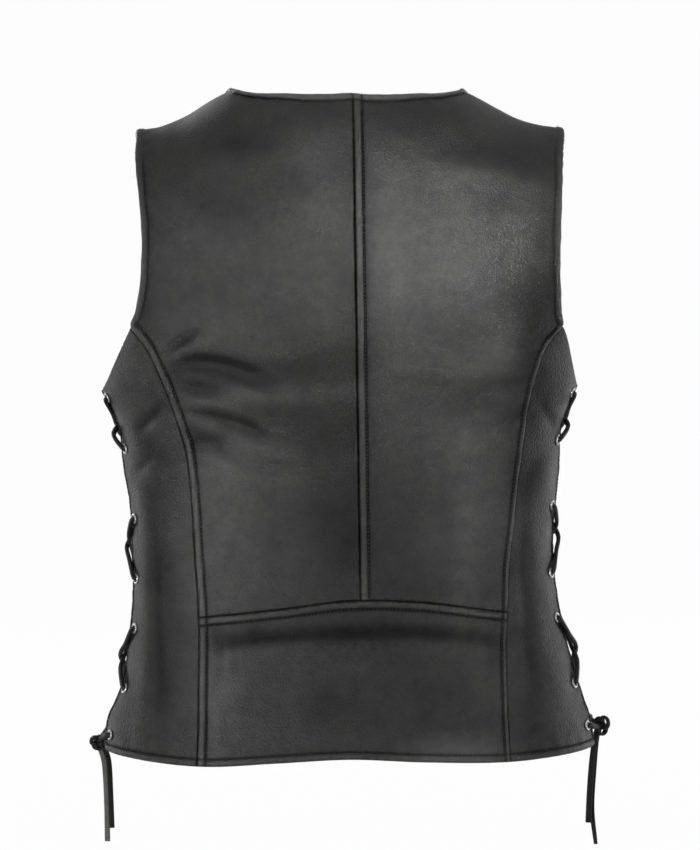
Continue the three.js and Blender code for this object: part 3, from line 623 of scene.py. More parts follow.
def spaced(width):
    """Shares and offsets of grid lines between two edges: close together near both, even between."""
    rim = NEAR_EDGE[-1]
    shares = np.linspace(0, 1, max(2, int((width - 2 * rim) / CELL)) + 1)
    return (
        np.concatenate([np.zeros(len(NEAR_EDGE) - 1), shares, np.ones(len(NEAR_EDGE) - 1)]),
        np.concatenate([NEAR_EDGE[:-1], rim * (1 - 2 * shares), -NEAR_EDGE[:-1][::-1]]),
    )


def across(low, high, lines):
    """Places between two edges, by the shares and offsets of spaced."""
    share, offset = lines
    return low + (high - low) * share + offset


def upright(lines):
    """The same grid lines as rows instead of columns."""
    return lines[0][:, None], lines[1][:, None]


def round_height(side, x, angle):
    """Height up the sheet where it has gone an angle past the start of the shoulder's round."""
    return shoulder_line[side](x) - SHOULDER_ROUND + SHOULDER_ROUND * angle


SEAM_ANGLE = SEAM_FORWARD / SHOULDER_ROUND


def back_top(side, x):
    """The neck edge, whose plan is a squared round behind the shoulder seam, and beyond it the seam."""
    x = np.maximum(0, x)
    point = NECK_POINT[side]
    half = reach[side](NECK_HEIGHT)
    at_seam = -front_depth(NECK_HEIGHT) * fullness(point / half) * math.sin(SEAM_ANGLE)
    plan = np.maximum(0, 1 - np.minimum(1, x / point) ** NECK_SQUARENESS) ** (1 / NECK_SQUARENESS)
    y = lerp(at_seam, NECK_BACK_DEPTH, plan)
    whole = np.where(y > 0, back_depth(NECK_HEIGHT), front_depth(NECK_HEIGHT))
    neck = round_height(side, x, np.arccos(y / (whole * fullness(x / half))))
    return np.where(x >= point, round_height(side, x, np.pi / 2 + SEAM_ANGLE) - SEAM_GAP / 2, neck)


def neck_strip(x):
    """The width of the turned strip along the back neck edge, which is widest in the middle."""
    return (6.4 + 3.2 * (1 - smooth((np.abs(x) - 30) / 55))).reshape(-1)


def on_face(x, height, front=False):
    """The (angle, height) of places on the back or the front, from their x."""
    return turn_at_x(x, height, front), height


# The width of the strip turned along each kind of edge, and how far in its line is sewn.
STRIPS = {
    "curved": (7.4, 7.2), "faint": (4.6, 4.4), "armhole": (7.6, 7.4), "centre": (7.6, 7.4),
    "band": (7.3, 7.1), "neck": (6.4, 6.2), "opening": (6.4, 6.2), "hem": (6.6, 6.3), "laced": (2.6, 2.4),
}


def turned_edges(edges, ways, **special):
    """The widths of the strips along a panel's turned edges, and the lines sewn beside them: each place of
    an edge is moved in along the cross product of the form's normal and the edge's direction. The way of an
    edge, 1 or -1, says on which hand the panel lies."""
    widths, sewn = {}, {}
    for key, way in ways.items():
        widths[key], inset = special.get(key, STRIPS[key])
        points = form_point(*edges[key])
        beside = unit(np.cross(form_normal(*edges[key]), unit(np.gradient(points, axis=0))))
        sewn[key] = evenly(points - way * inset * beside, 1.5)
    return widths, sewn


# About how wide and high each panel is, for its grid lines.
BACK_WIDE, BACK_HIGH = 178, 430
BAND_WIDE, BAND_HIGH = 258, 122
SIDE_WIDE, SIDE_HIGH = 110, 320
FRONT_WIDE, FRONT_LOW, FRONT_HIGH = 190, 331, 330


def back_half(side):
    """Between the centre seam and the outer edge, from the band seam to the neck edge and shoulder."""
    sign = SIGN[side]

    def inner(h):
        return sign * centre_seam(h) + SEAM_GAP / 2

    def outer(h):
        return back_edge[side](h) - SEAM_GAP / 2

    # Grid lines stand closer where the neck edge meets the shoulder seam.
    share, offset = spaced(BACK_WIDE)
    extra = np.linspace(0.44, 0.58, 26)
    share = np.concatenate([share, extra])
    offset = np.concatenate([offset, NEAR_EDGE[-1] * (1 - 2 * extra)])
    order = np.argsort(share * (BACK_WIDE - 2.4) + offset, kind="stable")
    columns = (share[order], offset[order])
    foot = across(inner(BAND_MIDDLE), outer(BAND_MIDDLE), columns)
    head = across(inner(0), outer(0), columns)
    bottom = band_top(sign * foot) + SEAM_GAP / 2
    whole = round_height(side, np.maximum(0, head), np.pi / 2 + SEAM_ANGLE)
    v, off = upright(spaced(BACK_HIGH))
    height = bottom + (whole - bottom) * v + off - (whole - back_top(side, head)) * v**3
    level = np.minimum(height, 0)
    x = across(inner(level), outer(level), columns)

    u = np.linspace(0, 1, 160)
    low = lerp(inner(BAND_MIDDLE), outer(BAND_MIDDLE), u)
    rise = lerp(band_top(sign * inner(BAND_MIDDLE)), back_top(side, inner(0)), u)
    seam = lerp(band_top(sign * outer(BAND_MIDDLE)), ARMHOLE_JOIN, u)
    hole = lerp(ARMHOLE_JOIN, back_top(side, outer(0)), u)
    neck_x = np.concatenate([np.linspace(inner(0), 80, 60), np.linspace(80.5, NECK_POINT[side], 60)])
    shoulder_x = np.linspace(NECK_POINT[side], outer(0), 60)
    edges = {
        "centre": (inner(rise), rise),
        "band": (low, band_top(sign * low) + SEAM_GAP / 2),
        "curved": (outer(seam), seam),
        "armhole": (outer(np.minimum(hole, 0)), hole),
        "neck": (neck_x, back_top(side, neck_x)),
        "shoulder": (shoulder_x, back_top(side, shoulder_x)),
    }
    edges = {key: on_face(sign * x_out, h) for key, (x_out, h) in edges.items()}
    ways = {"curved": sign, "armhole": sign, "neck": -sign}
    special = {"neck": (neck_strip(x), neck_strip(neck_x)[:, None] - 0.2)}
    if side == "right":
        ways["centre"] = -sign
        special["curved"] = STRIPS["faint"]
    return *on_face(sign * x, height), edges, *turned_edges(edges, ways, **special)


def waist_band():
    """Between the curved seams, from the hem to the band seam."""
    def left(h):
        return back_edge["left"](h) - SEAM_GAP / 2

    def right(h):
        return -back_edge["right"](h) + SEAM_GAP / 2

    columns = spaced(BAND_WIDE)
    low = across(right(HEM_FRONT), left(HEM_FRONT), columns)
    high = across(right(BAND_MIDDLE), left(BAND_MIDDLE), columns)
    height = across(hem_back(low), band_top(high) - SEAM_GAP / 2, upright(spaced(BAND_HIGH)))
    u = np.linspace(0, 1, 120)
    top_x = lerp(right(BAND_MIDDLE), left(BAND_MIDDLE), u)
    hem_x = lerp(right(HEM_FRONT), left(HEM_FRONT), u)
    left_h = lerp(hem_back(left(HEM_FRONT)), band_top(left(BAND_MIDDLE)), u)
    right_h = lerp(hem_back(right(HEM_FRONT)), band_top(right(BAND_MIDDLE)), u)
    edges = {
        "band": on_face(top_x, band_top(top_x) - SEAM_GAP / 2),
        "hem": on_face(hem_x, hem_back(hem_x)),
        "curved": on_face(left(left_h), left_h),
        "centre": on_face(right(right_h), right_h),
    }
    ways = {"band": -1, "hem": 1, "curved": 1, "centre": -1}
    turned_in = turned_edges(edges, ways, centre=STRIPS["faint"])
    return *on_face(across(right(height), left(height), columns), height), edges, *turned_in


def side_panel(side):
    """Between the curved seam and the back laced edge, from the hem to the bottom of the armhole."""
    sign = SIGN[side]

    def turn_at(h, u):
        seam = turn_at_x(sign * (back_edge[side](h) + SEAM_GAP / 2), h, False)
        return lerp(seam, turn_at_depth(side, laced["back"](h), h, False), u)

    def x_at(u, h):
        return np.abs(form_point(turn_at(h, u), h)[..., 0])

    def top_at(u):
        join = x_at(0.0, np.array(float(ARMHOLE_JOIN)))
        corner = x_at(1.0, np.array(float(UNDERARM[side])))
        h = lerp(ARMHOLE_JOIN, UNDERARM[side], u)
        for _ in range(8):
            part = np.clip((x_at(u, h) - join) / (corner - join), 0, 1) ** UNDERARM_BEND[side]
            h = lerp(h, lerp(ARMHOLE_JOIN, UNDERARM[side], part), 0.6)
        return h

    share = np.clip(across(0, SIDE_WIDE, spaced(SIDE_WIDE)) / SIDE_WIDE, 0, 1)
    hem = hem_back(form_point(turn_at(HEM_FRONT, share), HEM_FRONT)[..., 0])
    top = top_at(share)
    height = across(hem, top, upright(spaced(SIDE_HIGH)))
    u = np.linspace(0, 1, 140)
    heights = {
        "curved": (lerp(hem[0], top[0], u), 0),
        "laced": (lerp(hem[-1], top[-1], u), 1),
        "armhole": (top_at(u), u),
        "hem": (np.interp(u, share, hem), u),
    }
    edges = {key: (turn_at(h, at), h) for key, (h, at) in heights.items()}
    return turn_at(height, share), height, edges, *turned_edges(edges, {"laced": sign, "hem": sign})


def front_panel(side):
    """Between the centre overlap or neck edge and the laced edge or armhole, from the hem to the
    shoulder seam."""
    sign = SIGN[side]
    corner = UNDERARM[side]

    def outer(h):
        low = half_width(side, h, True) * fullness(laced["front"](h) / front_depth(h))
        return np.where(h > corner, front_armhole[side](h), low)

    def up_neck(h, top):
        return np.clip((h - NECK_CORNER) / (top - NECK_CORNER), 0, 1) ** 6

    share = np.clip(across(0, FRONT_WIDE, spaced(FRONT_WIDE)) / FRONT_WIDE, 0, 1)
    below = np.linspace(0, 1, 92)
    below = np.concatenate([np.array([0, 0.3, 0.9, 1.6, 3, 5, 6, 7]) / FRONT_LOW, below[3:]])
    above = 1 - np.array([7, 6, 4, 2.4, 1.2, 0.5, 0]) / FRONT_HIGH
    above = np.concatenate([np.linspace(0, 1, 104)[1:-4], above])
    part = np.concatenate([below - 1, above])[:, None]
    top_x = lerp(NECK_POINT[side], SHOULDER_TIP, share)
    top = round_height(side, top_x, np.pi / 2 - SEAM_ANGLE) - SEAM_GAP / 2
    height = np.where(part <= 0, lerp(corner, HEM_FRONT, -part), lerp(corner, top, part))
    x = lerp(lerp(neck_edge(height), outer(height), share), top_x, up_neck(height, top))
    lift = OVERLAP_LIFT * (1 - smooth((x - OVERLAP - 1.5) / LIFT_WIDTH)) if side == "right" else 0

    u = np.linspace(0, 1, 160)
    low = lerp(HEM_FRONT, corner, u)
    hole = lerp(corner + 0.01, top[-1], u)
    neck = lerp(NECK_CORNER, top[0], u)
    straight = lerp(HEM_FRONT, NECK_CORNER, u)
    ends = lerp(float(neck_edge(HEM_FRONT)), float(outer(np.array(float(HEM_FRONT)))), u)
    edges = {
        "laced": (outer(low - 0.01), low),
        "armhole": (lerp(outer(hole), SHOULDER_TIP, up_neck(hole, top[-1])), hole),
        "neck": (lerp(neck_edge(neck), NECK_POINT[side], up_neck(neck, top[0])), neck),
        "opening": (neck_edge(straight), straight),
        "hem": (ends, np.full_like(u, float(HEM_FRONT))),
        "shoulder": (top_x, top),
    }
    edges = {key: on_face(sign * x_out, h, True) for key, (x_out, h) in edges.items()}
    ways = {"laced": -sign, "armhole": -sign, "neck": sign, "opening": sign, "hem": -sign}
    return *on_face(sign * x, height, True), edges, *turned_edges(edges, ways), lift


# Materials. Two effects are shared: the grain of hide, and the rubbed light edges and the painted shade in
# seams, sewn lines and creases.
def make_group(name, inputs, outputs):
    """A shader group with the named numbers as its inputs and outputs."""
    group = bpy.data.node_groups.new(name, "ShaderNodeTree")
    for label, value in inputs.items():
        socket = group.interface.new_socket(name=label, in_out="INPUT", socket_type="NodeSocketFloat")
        socket.default_value = value
    for label in outputs:
        group.interface.new_socket(name=label, in_out="OUTPUT", socket_type="NodeSocketFloat")
    return group, group.nodes.new("NodeGroupInput").outputs, group.nodes.new("NodeGroupOutput").inputs


def node(tree, kind, links=None, **settings):
    """A node with its settings, and its inputs linked from sockets or set to values."""
    made = tree.nodes.new(kind)
    for key, value in settings.items():
        setattr(made, key, value)
    for key, value in (links or {}).items():
        if isinstance(value, bpy.types.NodeSocket):
            tree.links.new(value, made.inputs[key])
        else:
            made.inputs[key].default_value = value
    return made


def math_node(tree, operation, a, b=0.0, clamp=False):
    """One sum, product or the like of two numbers."""
    return node(tree, "ShaderNodeMath", {0: a, 1: b}, operation=operation, use_clamp=clamp).outputs[0]


def vector_node(tree, operation, a, b, socket=1):
    """One sum or the like of two vectors, or of a vector and its scale."""
    return node(tree, "ShaderNodeVectorMath", {0: a, socket: b}, operation=operation).outputs[0]


def ranged(tree, value, old=(0.0, 1.0), new=(0.0, 1.0)):
    """A number brought from one range to another, and kept inside it."""
    ends = {"From Min": old[0], "From Max": old[1], "To Min": new[0], "To Max": new[1]}
    return node(tree, "ShaderNodeMapRange", {"Value": value, **ends}).outputs[0]


def noise(tree, place, scale, detail, roughness=0.5):
    """Cloudy noise: its number and its colour."""
    inputs = {"Vector": place, "Scale": scale, "Detail": detail, "Roughness": roughness}
    made = node(tree, "ShaderNodeTexNoise", inputs)
    return made.outputs["Fac"], made.outputs["Color"]


def mixed(tree, share, first, second, blend="MIX"):
    """Two colours mixed, each a socket or three numbers."""
    pair = [each if isinstance(each, bpy.types.NodeSocket) else (*each, 1) for each in (first, second)]
    inputs = {"Factor": share, 6: pair[0], 7: pair[1]}
    return node(tree, "ShaderNodeMix", inputs, data_type="RGBA", blend_type=blend).outputs[2]


def bumped(tree, shader, height, strength, distance):
    """Tilts the shader's normal by the slope of a height."""
    bump = node(tree, "ShaderNodeBump", {"Height": height, "Strength": strength, "Distance": distance})
    tree.links.new(bump.outputs[0], shader.inputs["Normal"])


def object_place(tree):
    """Where a point is in its object, which stands at the origin."""
    return node(tree, "ShaderNodeTexCoord").outputs["Object"]


def painted(tree, name):
    """A number painted on the points."""
    return node(tree, "ShaderNodeAttribute", attribute_name=name).outputs["Fac"]


def hide_grain():
    """Pebbles a little under a millimetre with fine creases between them, over slow rises and falls.
    Height is the pebbles' own, less where a slow noise stretches the hide smooth."""
    group, given, out = make_group("hide grain", {"Pebble": 1100.0, "Slow": 26.0}, ["Height", "Patch"])
    place = object_place(group)
    _, bend = noise(group, place, 420.0, 2.0)
    centred = vector_node(group, "SUBTRACT", bend, (0.5, 0.5, 0.5))
    moved = vector_node(group, "ADD", place, vector_node(group, "SCALE", centred, 0.0011, "Scale"))
    voronoi = {"Vector": moved, "Scale": given["Pebble"], "Smoothness": 0.35}
    cells = node(group, "ShaderNodeTexVoronoi", voronoi, feature="SMOOTH_F1")
    pores, _ = noise(group, place, 2600.0, 2.0)
    patch, _ = noise(group, place, given["Slow"], 3.0)
    wrinkle, _ = noise(group, moved, 460.0, 5.0, 0.62)
    stretch = ranged(group, patch, (0.34, 0.62), (0.85, 1.0))
    pebble = math_node(group, "MULTIPLY", math_node(group, "SUBTRACT", 1.0, cells.outputs["Distance"]), 0.55)
    height = math_node(group, "MULTIPLY", math_node(group, "ADD", pebble, wrinkle), stretch)
    fine = math_node(group, "MULTIPLY", pores, 0.2)
    group.links.new(math_node(group, "ADD", height, fine), out["Height"])
    group.links.new(patch, out["Patch"])
    return group


def use_marks():
    """Two masks from a piece's own painted numbers: where it is rubbed, broken up by noise, and the painted
    shade in seams, sewn lines and creases.
    """
    group, _, out = make_group("use marks", {}, ["Rubbed", "PaintedShade"])
    spots, _ = noise(group, object_place(group), 190.0, 4.0)
    rubbed = math_node(group, "MULTIPLY", painted(group, "worn"), ranged(group, spots, (0.4, 0.66)), True)
    group.links.new(rubbed, out["Rubbed"])
    group.links.new(painted(group, "deep"), out["PaintedShade"])
    return group


GRAIN = hide_grain()
MARKS = use_marks()


def new_material(name, color, roughness, metallic=0.0, specular=0.5):
    """A material with its Principled shader."""
    material = bpy.data.materials.new(name)
    material.use_nodes = True
    shader = material.node_tree.nodes["Principled BSDF"]
    shader.inputs["Base Color"].default_value = (*color, 1)
    shader.inputs["Roughness"].default_value = roughness
    shader.inputs["Metallic"].default_value = metallic
    shader.inputs["Specular IOR Level"].default_value = specular
    material.diffuse_color = (*color, 1)
    return material, material.node_tree, shader


def painted_light_and_shine(tree, specular):
    """How bright and how shiny the outside of the hide is. Both follow the painted light and shade zones
    and a cloudy noise, and the shine falls with the painted shade in seams and folds."""
    clouds, _ = noise(tree, object_place(tree), 85.0, 5.0, 0.62)
    mottle = ranged(tree, clouds, (0.33, 0.67), (0.88, 1.13))
    painted_light_and_mottle = math_node(tree, "MULTIPLY", math_node(tree, "ADD", painted(tree, "painted_light"), 1.0), mottle)
    shine = ranged(tree, painted(tree, "deep"), new=(specular, 0.1 * specular))
    return painted_light_and_mottle, math_node(tree, "MULTIPLY", shine, painted_light_and_mottle)


def grained_leather(name, color, patch, rub, roughness, pebble, bump, specular=0.5, with_painted_light=False):
    """Dyed hide: the colour drifts slowly to that of its patches, painted shade darkens seams and creases,
    rubbed edges lighter.
    """
    material, tree, shader = new_material(name, color, roughness, specular=specular)
    grain = node(tree, "ShaderNodeGroup", node_tree=GRAIN)
    grain.inputs["Pebble"].default_value = pebble
    marks = node(tree, "ShaderNodeGroup", node_tree=MARKS).outputs
    tint = mixed(tree, ranged(tree, grain.outputs["Patch"], (0.35, 0.68)), color, patch)
    grain_and_painted_light = ranged(tree, grain.outputs["Height"], (0.4, 1.15), (0.7, 1.1))
    # On the outer leather the colour and the shine are multiplied by the painted light and shade zones and
    # by a cloudy noise.
    if with_painted_light:
        painted_light_and_mottle, shine = painted_light_and_shine(tree, specular)
        grain_and_painted_light = math_node(tree, "MULTIPLY", grain_and_painted_light, painted_light_and_mottle)
        tree.links.new(shine, shader.inputs["Specular IOR Level"])
    shade = mixed(tree, 1.0, tint, grain_and_painted_light, "MULTIPLY")
    shade = mixed(tree, marks["Rubbed"], shade, rub)
    # Painted shade: the colour falls to a tenth in seams, sewn lines and crease troughs.
    shade = mixed(tree, marks["PaintedShade"], shade, [0.1 * c for c in color])
    tree.links.new(shade, shader.inputs["Base Color"])
    rough = ranged(tree, grain.outputs["Patch"], (0.3, 0.7), (roughness - 0.02, roughness + 0.06))
    rough = math_node(tree, "SUBTRACT", rough, math_node(tree, "MULTIPLY", marks["Rubbed"], 0.02))
    tree.links.new(rough, shader.inputs["Roughness"])
    bumped(tree, shader, grain.outputs["Height"], bump, 0.0009)
    return material


LEATHER = grained_leather(
    "black grained leather", (0.0135, 0.0135, 0.013), (0.017, 0.017, 0.0155), (0.045, 0.044, 0.042),
    roughness=0.32, pebble=700.0, bump=0.8, with_painted_light=True,
)
FLESH_SIDE = grained_leather(
    "dark flesh side of leather", (0.018, 0.017, 0.016), (0.024, 0.022, 0.02), (0.03, 0.028, 0.026),
    roughness=0.8, pebble=1900.0, bump=0.3, specular=0.25,
)
THONG_BACK = grained_leather(
    "grey flesh side of lace", (0.15, 0.148, 0.144), (0.24, 0.236, 0.23), (0.2, 0.197, 0.19),
    roughness=0.75, pebble=1900.0, bump=0.4, specular=0.3,
)
THONG = grained_leather(
    "black leather lace", (0.006, 0.006, 0.006), (0.009, 0.009, 0.008), (0.03, 0.029, 0.027),
    roughness=0.42, pebble=1500.0, bump=0.4, specular=0.3,
)


def thread_material():
    """Waxed black thread, with fine strands across each stitch."""
    material, tree, shader = new_material("waxed black thread", (0.01, 0.01, 0.01), 0.55, specular=0.25)
    strands, _ = noise(tree, object_place(tree), 3000.0, 1.0)
    tree.links.new(ranged(tree, strands, new=(0.004, 0.02)), shader.inputs["Base Color"])
    bumped(tree, shader, strands, 0.4, 0.0002)
    return material


def steel_material():
    """Nickel plate: brushed by fine noise, dulled in places."""
    material, tree, shader = new_material("nickel plated steel", (0.62, 0.61, 0.58), 0.26, metallic=1.0)
    dull, _ = noise(tree, object_place(tree), 700.0, 4.0)
    tree.links.new(ranged(tree, dull, (0.3, 0.7), (0.18, 0.42)), shader.inputs["Roughness"])
    tree.links.new(ranged(tree, dull, (0.3, 0.7), (0.66, 0.45)), shader.inputs["Base Color"])
    bumped(tree, shader, dull, 0.1, 0.0001)
    return material


THREAD = thread_material()
STEEL = steel_material()


# Eyelets, snaps and laces.
def eyelet_frames(side, edge):
    """For each row, the angle, height, place and outward direction of an eyelet, set in from the edge."""
    height = np.array([row[side] for row in EYELET_HEIGHTS], float)
    turn = turn_at_depth(side, laced[edge](height) + EYELET_INSET, height, edge == "front")
    normal = form_normal(turn, height)
    return turn, height, form_point(turn, height) + normal * relief(turn, height)[:, None], normal


def turned(profile, count, centres, normals):
    """A profile of radius and height turned round each centre's direction: the radius times the cosine
    and sine of the angle, in the two directions across it."""
    profile = np.array(profile, float)
    angle = np.linspace(0, 2 * np.pi, count, endpoint=False)
    a = unit(np.cross(normals, np.array([0.0, 0.0, 1.0])))
    b = np.cross(normals, a)
    ring = np.cos(angle)[None, :, None] * a[:, None] + np.sin(angle)[None, :, None] * b[:, None]
    points = (
        centres[:, None, None]
        + profile[None, :, 0, None, None] * ring[:, None]
        + profile[None, :, 1, None, None] * normals[:, None, None]
    )
    rows = len(profile)
    offset = np.arange(len(centres)) * rows * count
    faces = (grid_faces(rows, count, True)[None] + offset[:, None, None]).reshape(-1, 4)
    return points.reshape(-1, 3), faces[:, ::-1].tolist()


def round_profile(centre, radii, start, stop, steps):
    """Part of an ellipse: its centre plus its radii times the cosine and sine of the angle."""
    angle = np.radians(np.linspace(start, stop, steps))
    return list(zip(centre[0] + radii[0] * np.cos(angle), centre[1] + radii[1] * np.sin(angle)))


EYELET_PROFILE = (
    [(2.55, -2.9), (2.5, -1.2), (2.5, 0.15)]
    + round_profile((3.45, 0.2), (0.95, 0.85), 180, 0, 12)
    + [(4.42, 0.05), (4.3, -0.25), (3.1, -0.3), (3.0, -2.4)]
    + round_profile((3.4, -2.6), (0.85, 0.5), 60, -180, 8)
)
SNAP_PROFILE = (
    [(0.05, 0.0), (6.4, 0.0)]
    + round_profile((6.5, 0.65), (0.7, 0.65), -90, 60, 8)
    + [(6.2, 1.15), (5.6, 1.3), (4.6, 1.9), (3.2, 2.35), (1.6, 2.55), (0.05, 2.6)]
)


HOLE_PROFILE = [(0.02, -9), (3.05, -9), (3.05, 9), (0.02, 9)]


def cut_holes(piece, side, edge):
    """The panel less plain rods where the eyelets stand."""
    _, _, centre, normal = eyelet_frames(side, edge)
    cutter = make_piece("cutter", *turned(HOLE_PROFILE, 20, centre, normal), FLESH_SIDE)
    cut = piece.modifiers.new("holes", "BOOLEAN")
    cut.operation = "DIFFERENCE"
    cut.solver = "EXACT"
    cut.object = cutter
    mesh = bpy.data.meshes.new_from_object(piece.evaluated_get(bpy.context.evaluated_depsgraph_get()))
    piece.modifiers.clear()
    piece.data = mesh
    bpy.data.objects.remove(cutter)


def through(points, step=1.2):
    """A smooth line through places: a Catmull-Rom cubic between each two, at even steps."""
    p = np.array(points, float)
    p = np.concatenate([[2 * p[0] - p[1]], p, [2 * p[-1] - p[-2]]])
    t = np.linspace(0, 1, 14, endpoint=False)[:, None]
    a, b, c, d = (p[k:len(p) - 3 + k][:, None] for k in range(4))
    way = 0.5 * (2 * b + (c - a) * t + (2 * a - 5 * b + 4 * c - d) * t**2 + (3 * b - a - 3 * c + d) * t**3)
    return evenly(np.concatenate([way.reshape(-1, 3), p[-2:-1]]), step)


def thong(name, line, facing, wide, thick, material):
    """A flat lace along a line: at each place a squared ellipse, wide across the line and thin along the
    way it faces, which is carried on from place to place and drawn towards the given direction."""
    way = unit(np.gradient(line, axis=0))
    thin = np.zeros_like(line)
    current = facing[0] - way[0] * (facing[0] @ way[0])
    current /= np.linalg.norm(current)
    for i, tangent in enumerate(way):
        wish = facing[i] - tangent * (facing[i] @ tangent)
        strength = 0.35 * min(1.0, np.linalg.norm(wish) * 1.4) ** 2
        if wish @ current < 0:
            wish = -wish
        current = current + strength * wish
        current = current - tangent * (current @ tangent)
        current = current / np.linalg.norm(current)
        thin[i] = current
    beside = np.cross(way, thin)
    count = 14
    angle = np.linspace(0, 2 * np.pi, count, endpoint=False)
    c = np.sign(np.cos(angle)) * np.abs(np.cos(angle)) ** 0.55
    s = np.sign(np.sin(angle)) * np.abs(np.sin(angle)) ** 0.7
    wide, thick = (np.broadcast_to(size, len(line))[:, None, None] for size in (wide, thick))
    section = 0.5 * (wide * c[None, :, None] * beside[:, None] + thick * s[None, :, None] * thin[:, None])
    points = (line[:, None] + section).reshape(-1, 3)
    first = list(range(count))
    caps = [first[::-1], [(len(line) - 1) * count + k for k in first]]
    piece = make_piece(name, points, grid_faces(len(line), count, True).tolist() + caps, material)
    paint(piece, "worn", np.tile(0.8 * (np.abs(c) > 0.85), len(line)))
    paint(piece, "deep", np.zeros(len(points)))
    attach(piece, "root")
    return piece


LACE_WIDE, LACE_THICK = 4.6, 3.5
SQUEEZED_WIDE, SQUEEZED_THICK = 3.7, 2.6  # inside an eyelet
KNOTS = {
    "left": dict(middle=np.array([211.5, 12, -527.5]), across=5.8, tall=5.8),
    "right": dict(middle=np.array([-210.8, 12, -513]), across=6.2, tall=8),
}
# How far the lace stands off the form between two rows: where it turns over the edges, nearer the upper row
# and nearer the lower one, and where two lengths of it cross.
LACE_OFF = {
    0: dict(high=0.9, low=5.6, under=0.9, over=4.6),
    2: dict(high=2.2, low=2.4, under=0.2, over=3.8),
    4: dict(high=2.8, low=3.4, under=0.8, over=4.6),
    "inside": dict(high=-4.6, low=-4.6, under=-4.2, over=-8),
}
# Beside an eyelet: how far along and how far off the form, for lengths outside and inside the vest.
OUT_STEPS = [(0.7, 1.7), (3.0, 2.3)]
IN_STEPS = [(0.7, -3.2), (2.8, -4.3)]


def lace_route(side):
    """Out of the knot, in through the lowest back eyelet, up from edge to edge, across and down again."""
    frames = {edge: eyelet_frames(side, edge) for edge in ("back", "front")}
    other = {"back": "front", "front": "back"}
    last = len(EYELET_HEIGHTS) - 1
    stops = [(row, "back" if (last - row) % 2 == 0 else "front") for row in range(last, -1, -1)]
    stops += [(row, other[edge]) for row, edge in stops[::-1]]

    def at(stop):
        return [part[stop[0]] for part in frames[stop[1]]]

    def near(here, towards, steps):
        way = towards - here[2]
        way = unit(way - here[3] * (way @ here[3]))
        return [here[2] + way * along + here[3] * off for along, off in steps]

    def from_knot(stop):
        middle = KNOTS[side]["middle"]
        here = at(stop)
        turn = turn_at_depth(side, float(laced[stop[1]](here[1])), here[1], stop[1] == "front")
        over = form_point(turn, here[1] - 3) + here[3] * 2.6
        start = middle + unit(over - middle) * 3.5
        route = [start, over, *near(here, over, OUT_STEPS)[::-1], here[2]]
        return route, [here[3]] * len(route)

    route, facing = from_knot(stops[0])
    for i in range(1, len(stops)):
        (row_a, _), (row_b, _) = stops[i - 1], stops[i]
        a, b = at(stops[i - 1]), at(stops[i])
        upper = min(row_a, row_b)
        outside = upper % 2 == 0 and row_a != row_b
        level = "over" if (i <= last) == (upper % 4 < 2) else "under"
        steps = OUT_STEPS if outside else IN_STEPS
        off = LACE_OFF[upper if outside else "inside"]
        ends = ("high", "low") if row_a < row_b else ("low", "high")
        middle = []
        for share, lift in ((0.3, off[ends[0]]), (0.5, off[level]), (0.7, off[ends[1]])):
            normal = unit(lerp(a[3], b[3], share))
            middle.append(form_point(lerp(a[0], b[0], share), lerp(a[1], b[1], share)) + normal * lift)
        span = [*near(a, b[2], steps), *middle, *near(b, a[2], steps)[::-1], b[2]]
        route += span
        facing += [lerp(a[3], b[3], share) for share in np.linspace(0, 1, len(span))]
    end, end_facing = from_knot(stops[-1])
    return np.array(route + end[:-1][::-1]), np.array(facing + end_facing[:-1])


def make_lace(side):
    """The lace along its route, squeezed narrower and thicker inside the eyelets."""
    route, facing = lace_route(side)
    line = through(route, 1.1)
    pick = np.linalg.norm(line[:, None] - route[None], axis=2).argmin(1)
    eyes = np.concatenate([eyelet_frames(side, edge)[2] for edge in ("back", "front")])
    gap = np.linalg.norm(line[:, None] - eyes[None], axis=2).min(1)
    squeeze = 1 - smooth((gap - 1.5) / 4)
    wide, thick = lerp(LACE_WIDE, SQUEEZED_WIDE, squeeze), lerp(LACE_THICK, SQUEEZED_THICK, squeeze)
    piece = thong(f"lace_{side}_leather", line, facing[pick], wide, thick, THONG)
    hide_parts(f"lace_{side}")


def make_knot(side):
    """An overhand knot pulled tight: a line that goes three times round while it goes twice about, its
    radius swelling and shrinking as it passes over and under itself."""
    knot = KNOTS[side]
    t = np.linspace(0, 2 * np.pi, 220)
    radius = 0.62 + 0.34 * np.cos(3 * t)
    u = radius * np.cos(2 * t + 0.4)
    v = radius * np.sin(2 * t + 0.4)
    w = 0.62 * np.sin(3 * t)
    line = np.stack([knot["across"] * u, knot["across"] * 0.72 * w + 0.5 * v, knot["tall"] * v], -1)
    even = evenly(line + knot["middle"], 0.8)
    facing = unit(line)[np.linspace(0, len(t) - 1, len(even)).astype(int)]
    piece = thong(f"knot_{side}_leather", even, facing, LACE_WIDE, 3.0, THONG)
    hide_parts(f"knot_{side}")


# The free ends, from inside the knot down, and the angle each faces away from the back at its top and end.
TAILS = table(
    "name wide material turn points",
    ("lace_end_left_long", 4.8, THONG_BACK, (0.2, 0.3),
     [(211, 10.5, -530), (208, 10, -537), (205.6, 11, -548),
      (204, 13, -576), (203.4, 14, -611)]),
    ("lace_end_left_short", 4.6, THONG, (-0.2, 0.1),
     [(208, 14, -529), (204, 14.6, -536), (201.6, 15.6, -547),
      (200.4, 17, -572), (199.4, 18, -599)]),
    ("lace_end_right_long", 4.2, THONG, (0.1, 1.1),
     [(-209.4, 10.2, -516), (-207, 9.8, -524), (-204.8, 9.6, -550),
      (-203.2, 9.8, -584), (-206.4, 10, -614)]),
    ("lace_end_right_short", 5, THONG, (0.1, 0.15),
     [(-208, 13.6, -515), (-205.4, 14.2, -523), (-202.6, 14.4, -545),
      (-200.8, 14.8, -570), (-199.8, 15, -595)]),
)


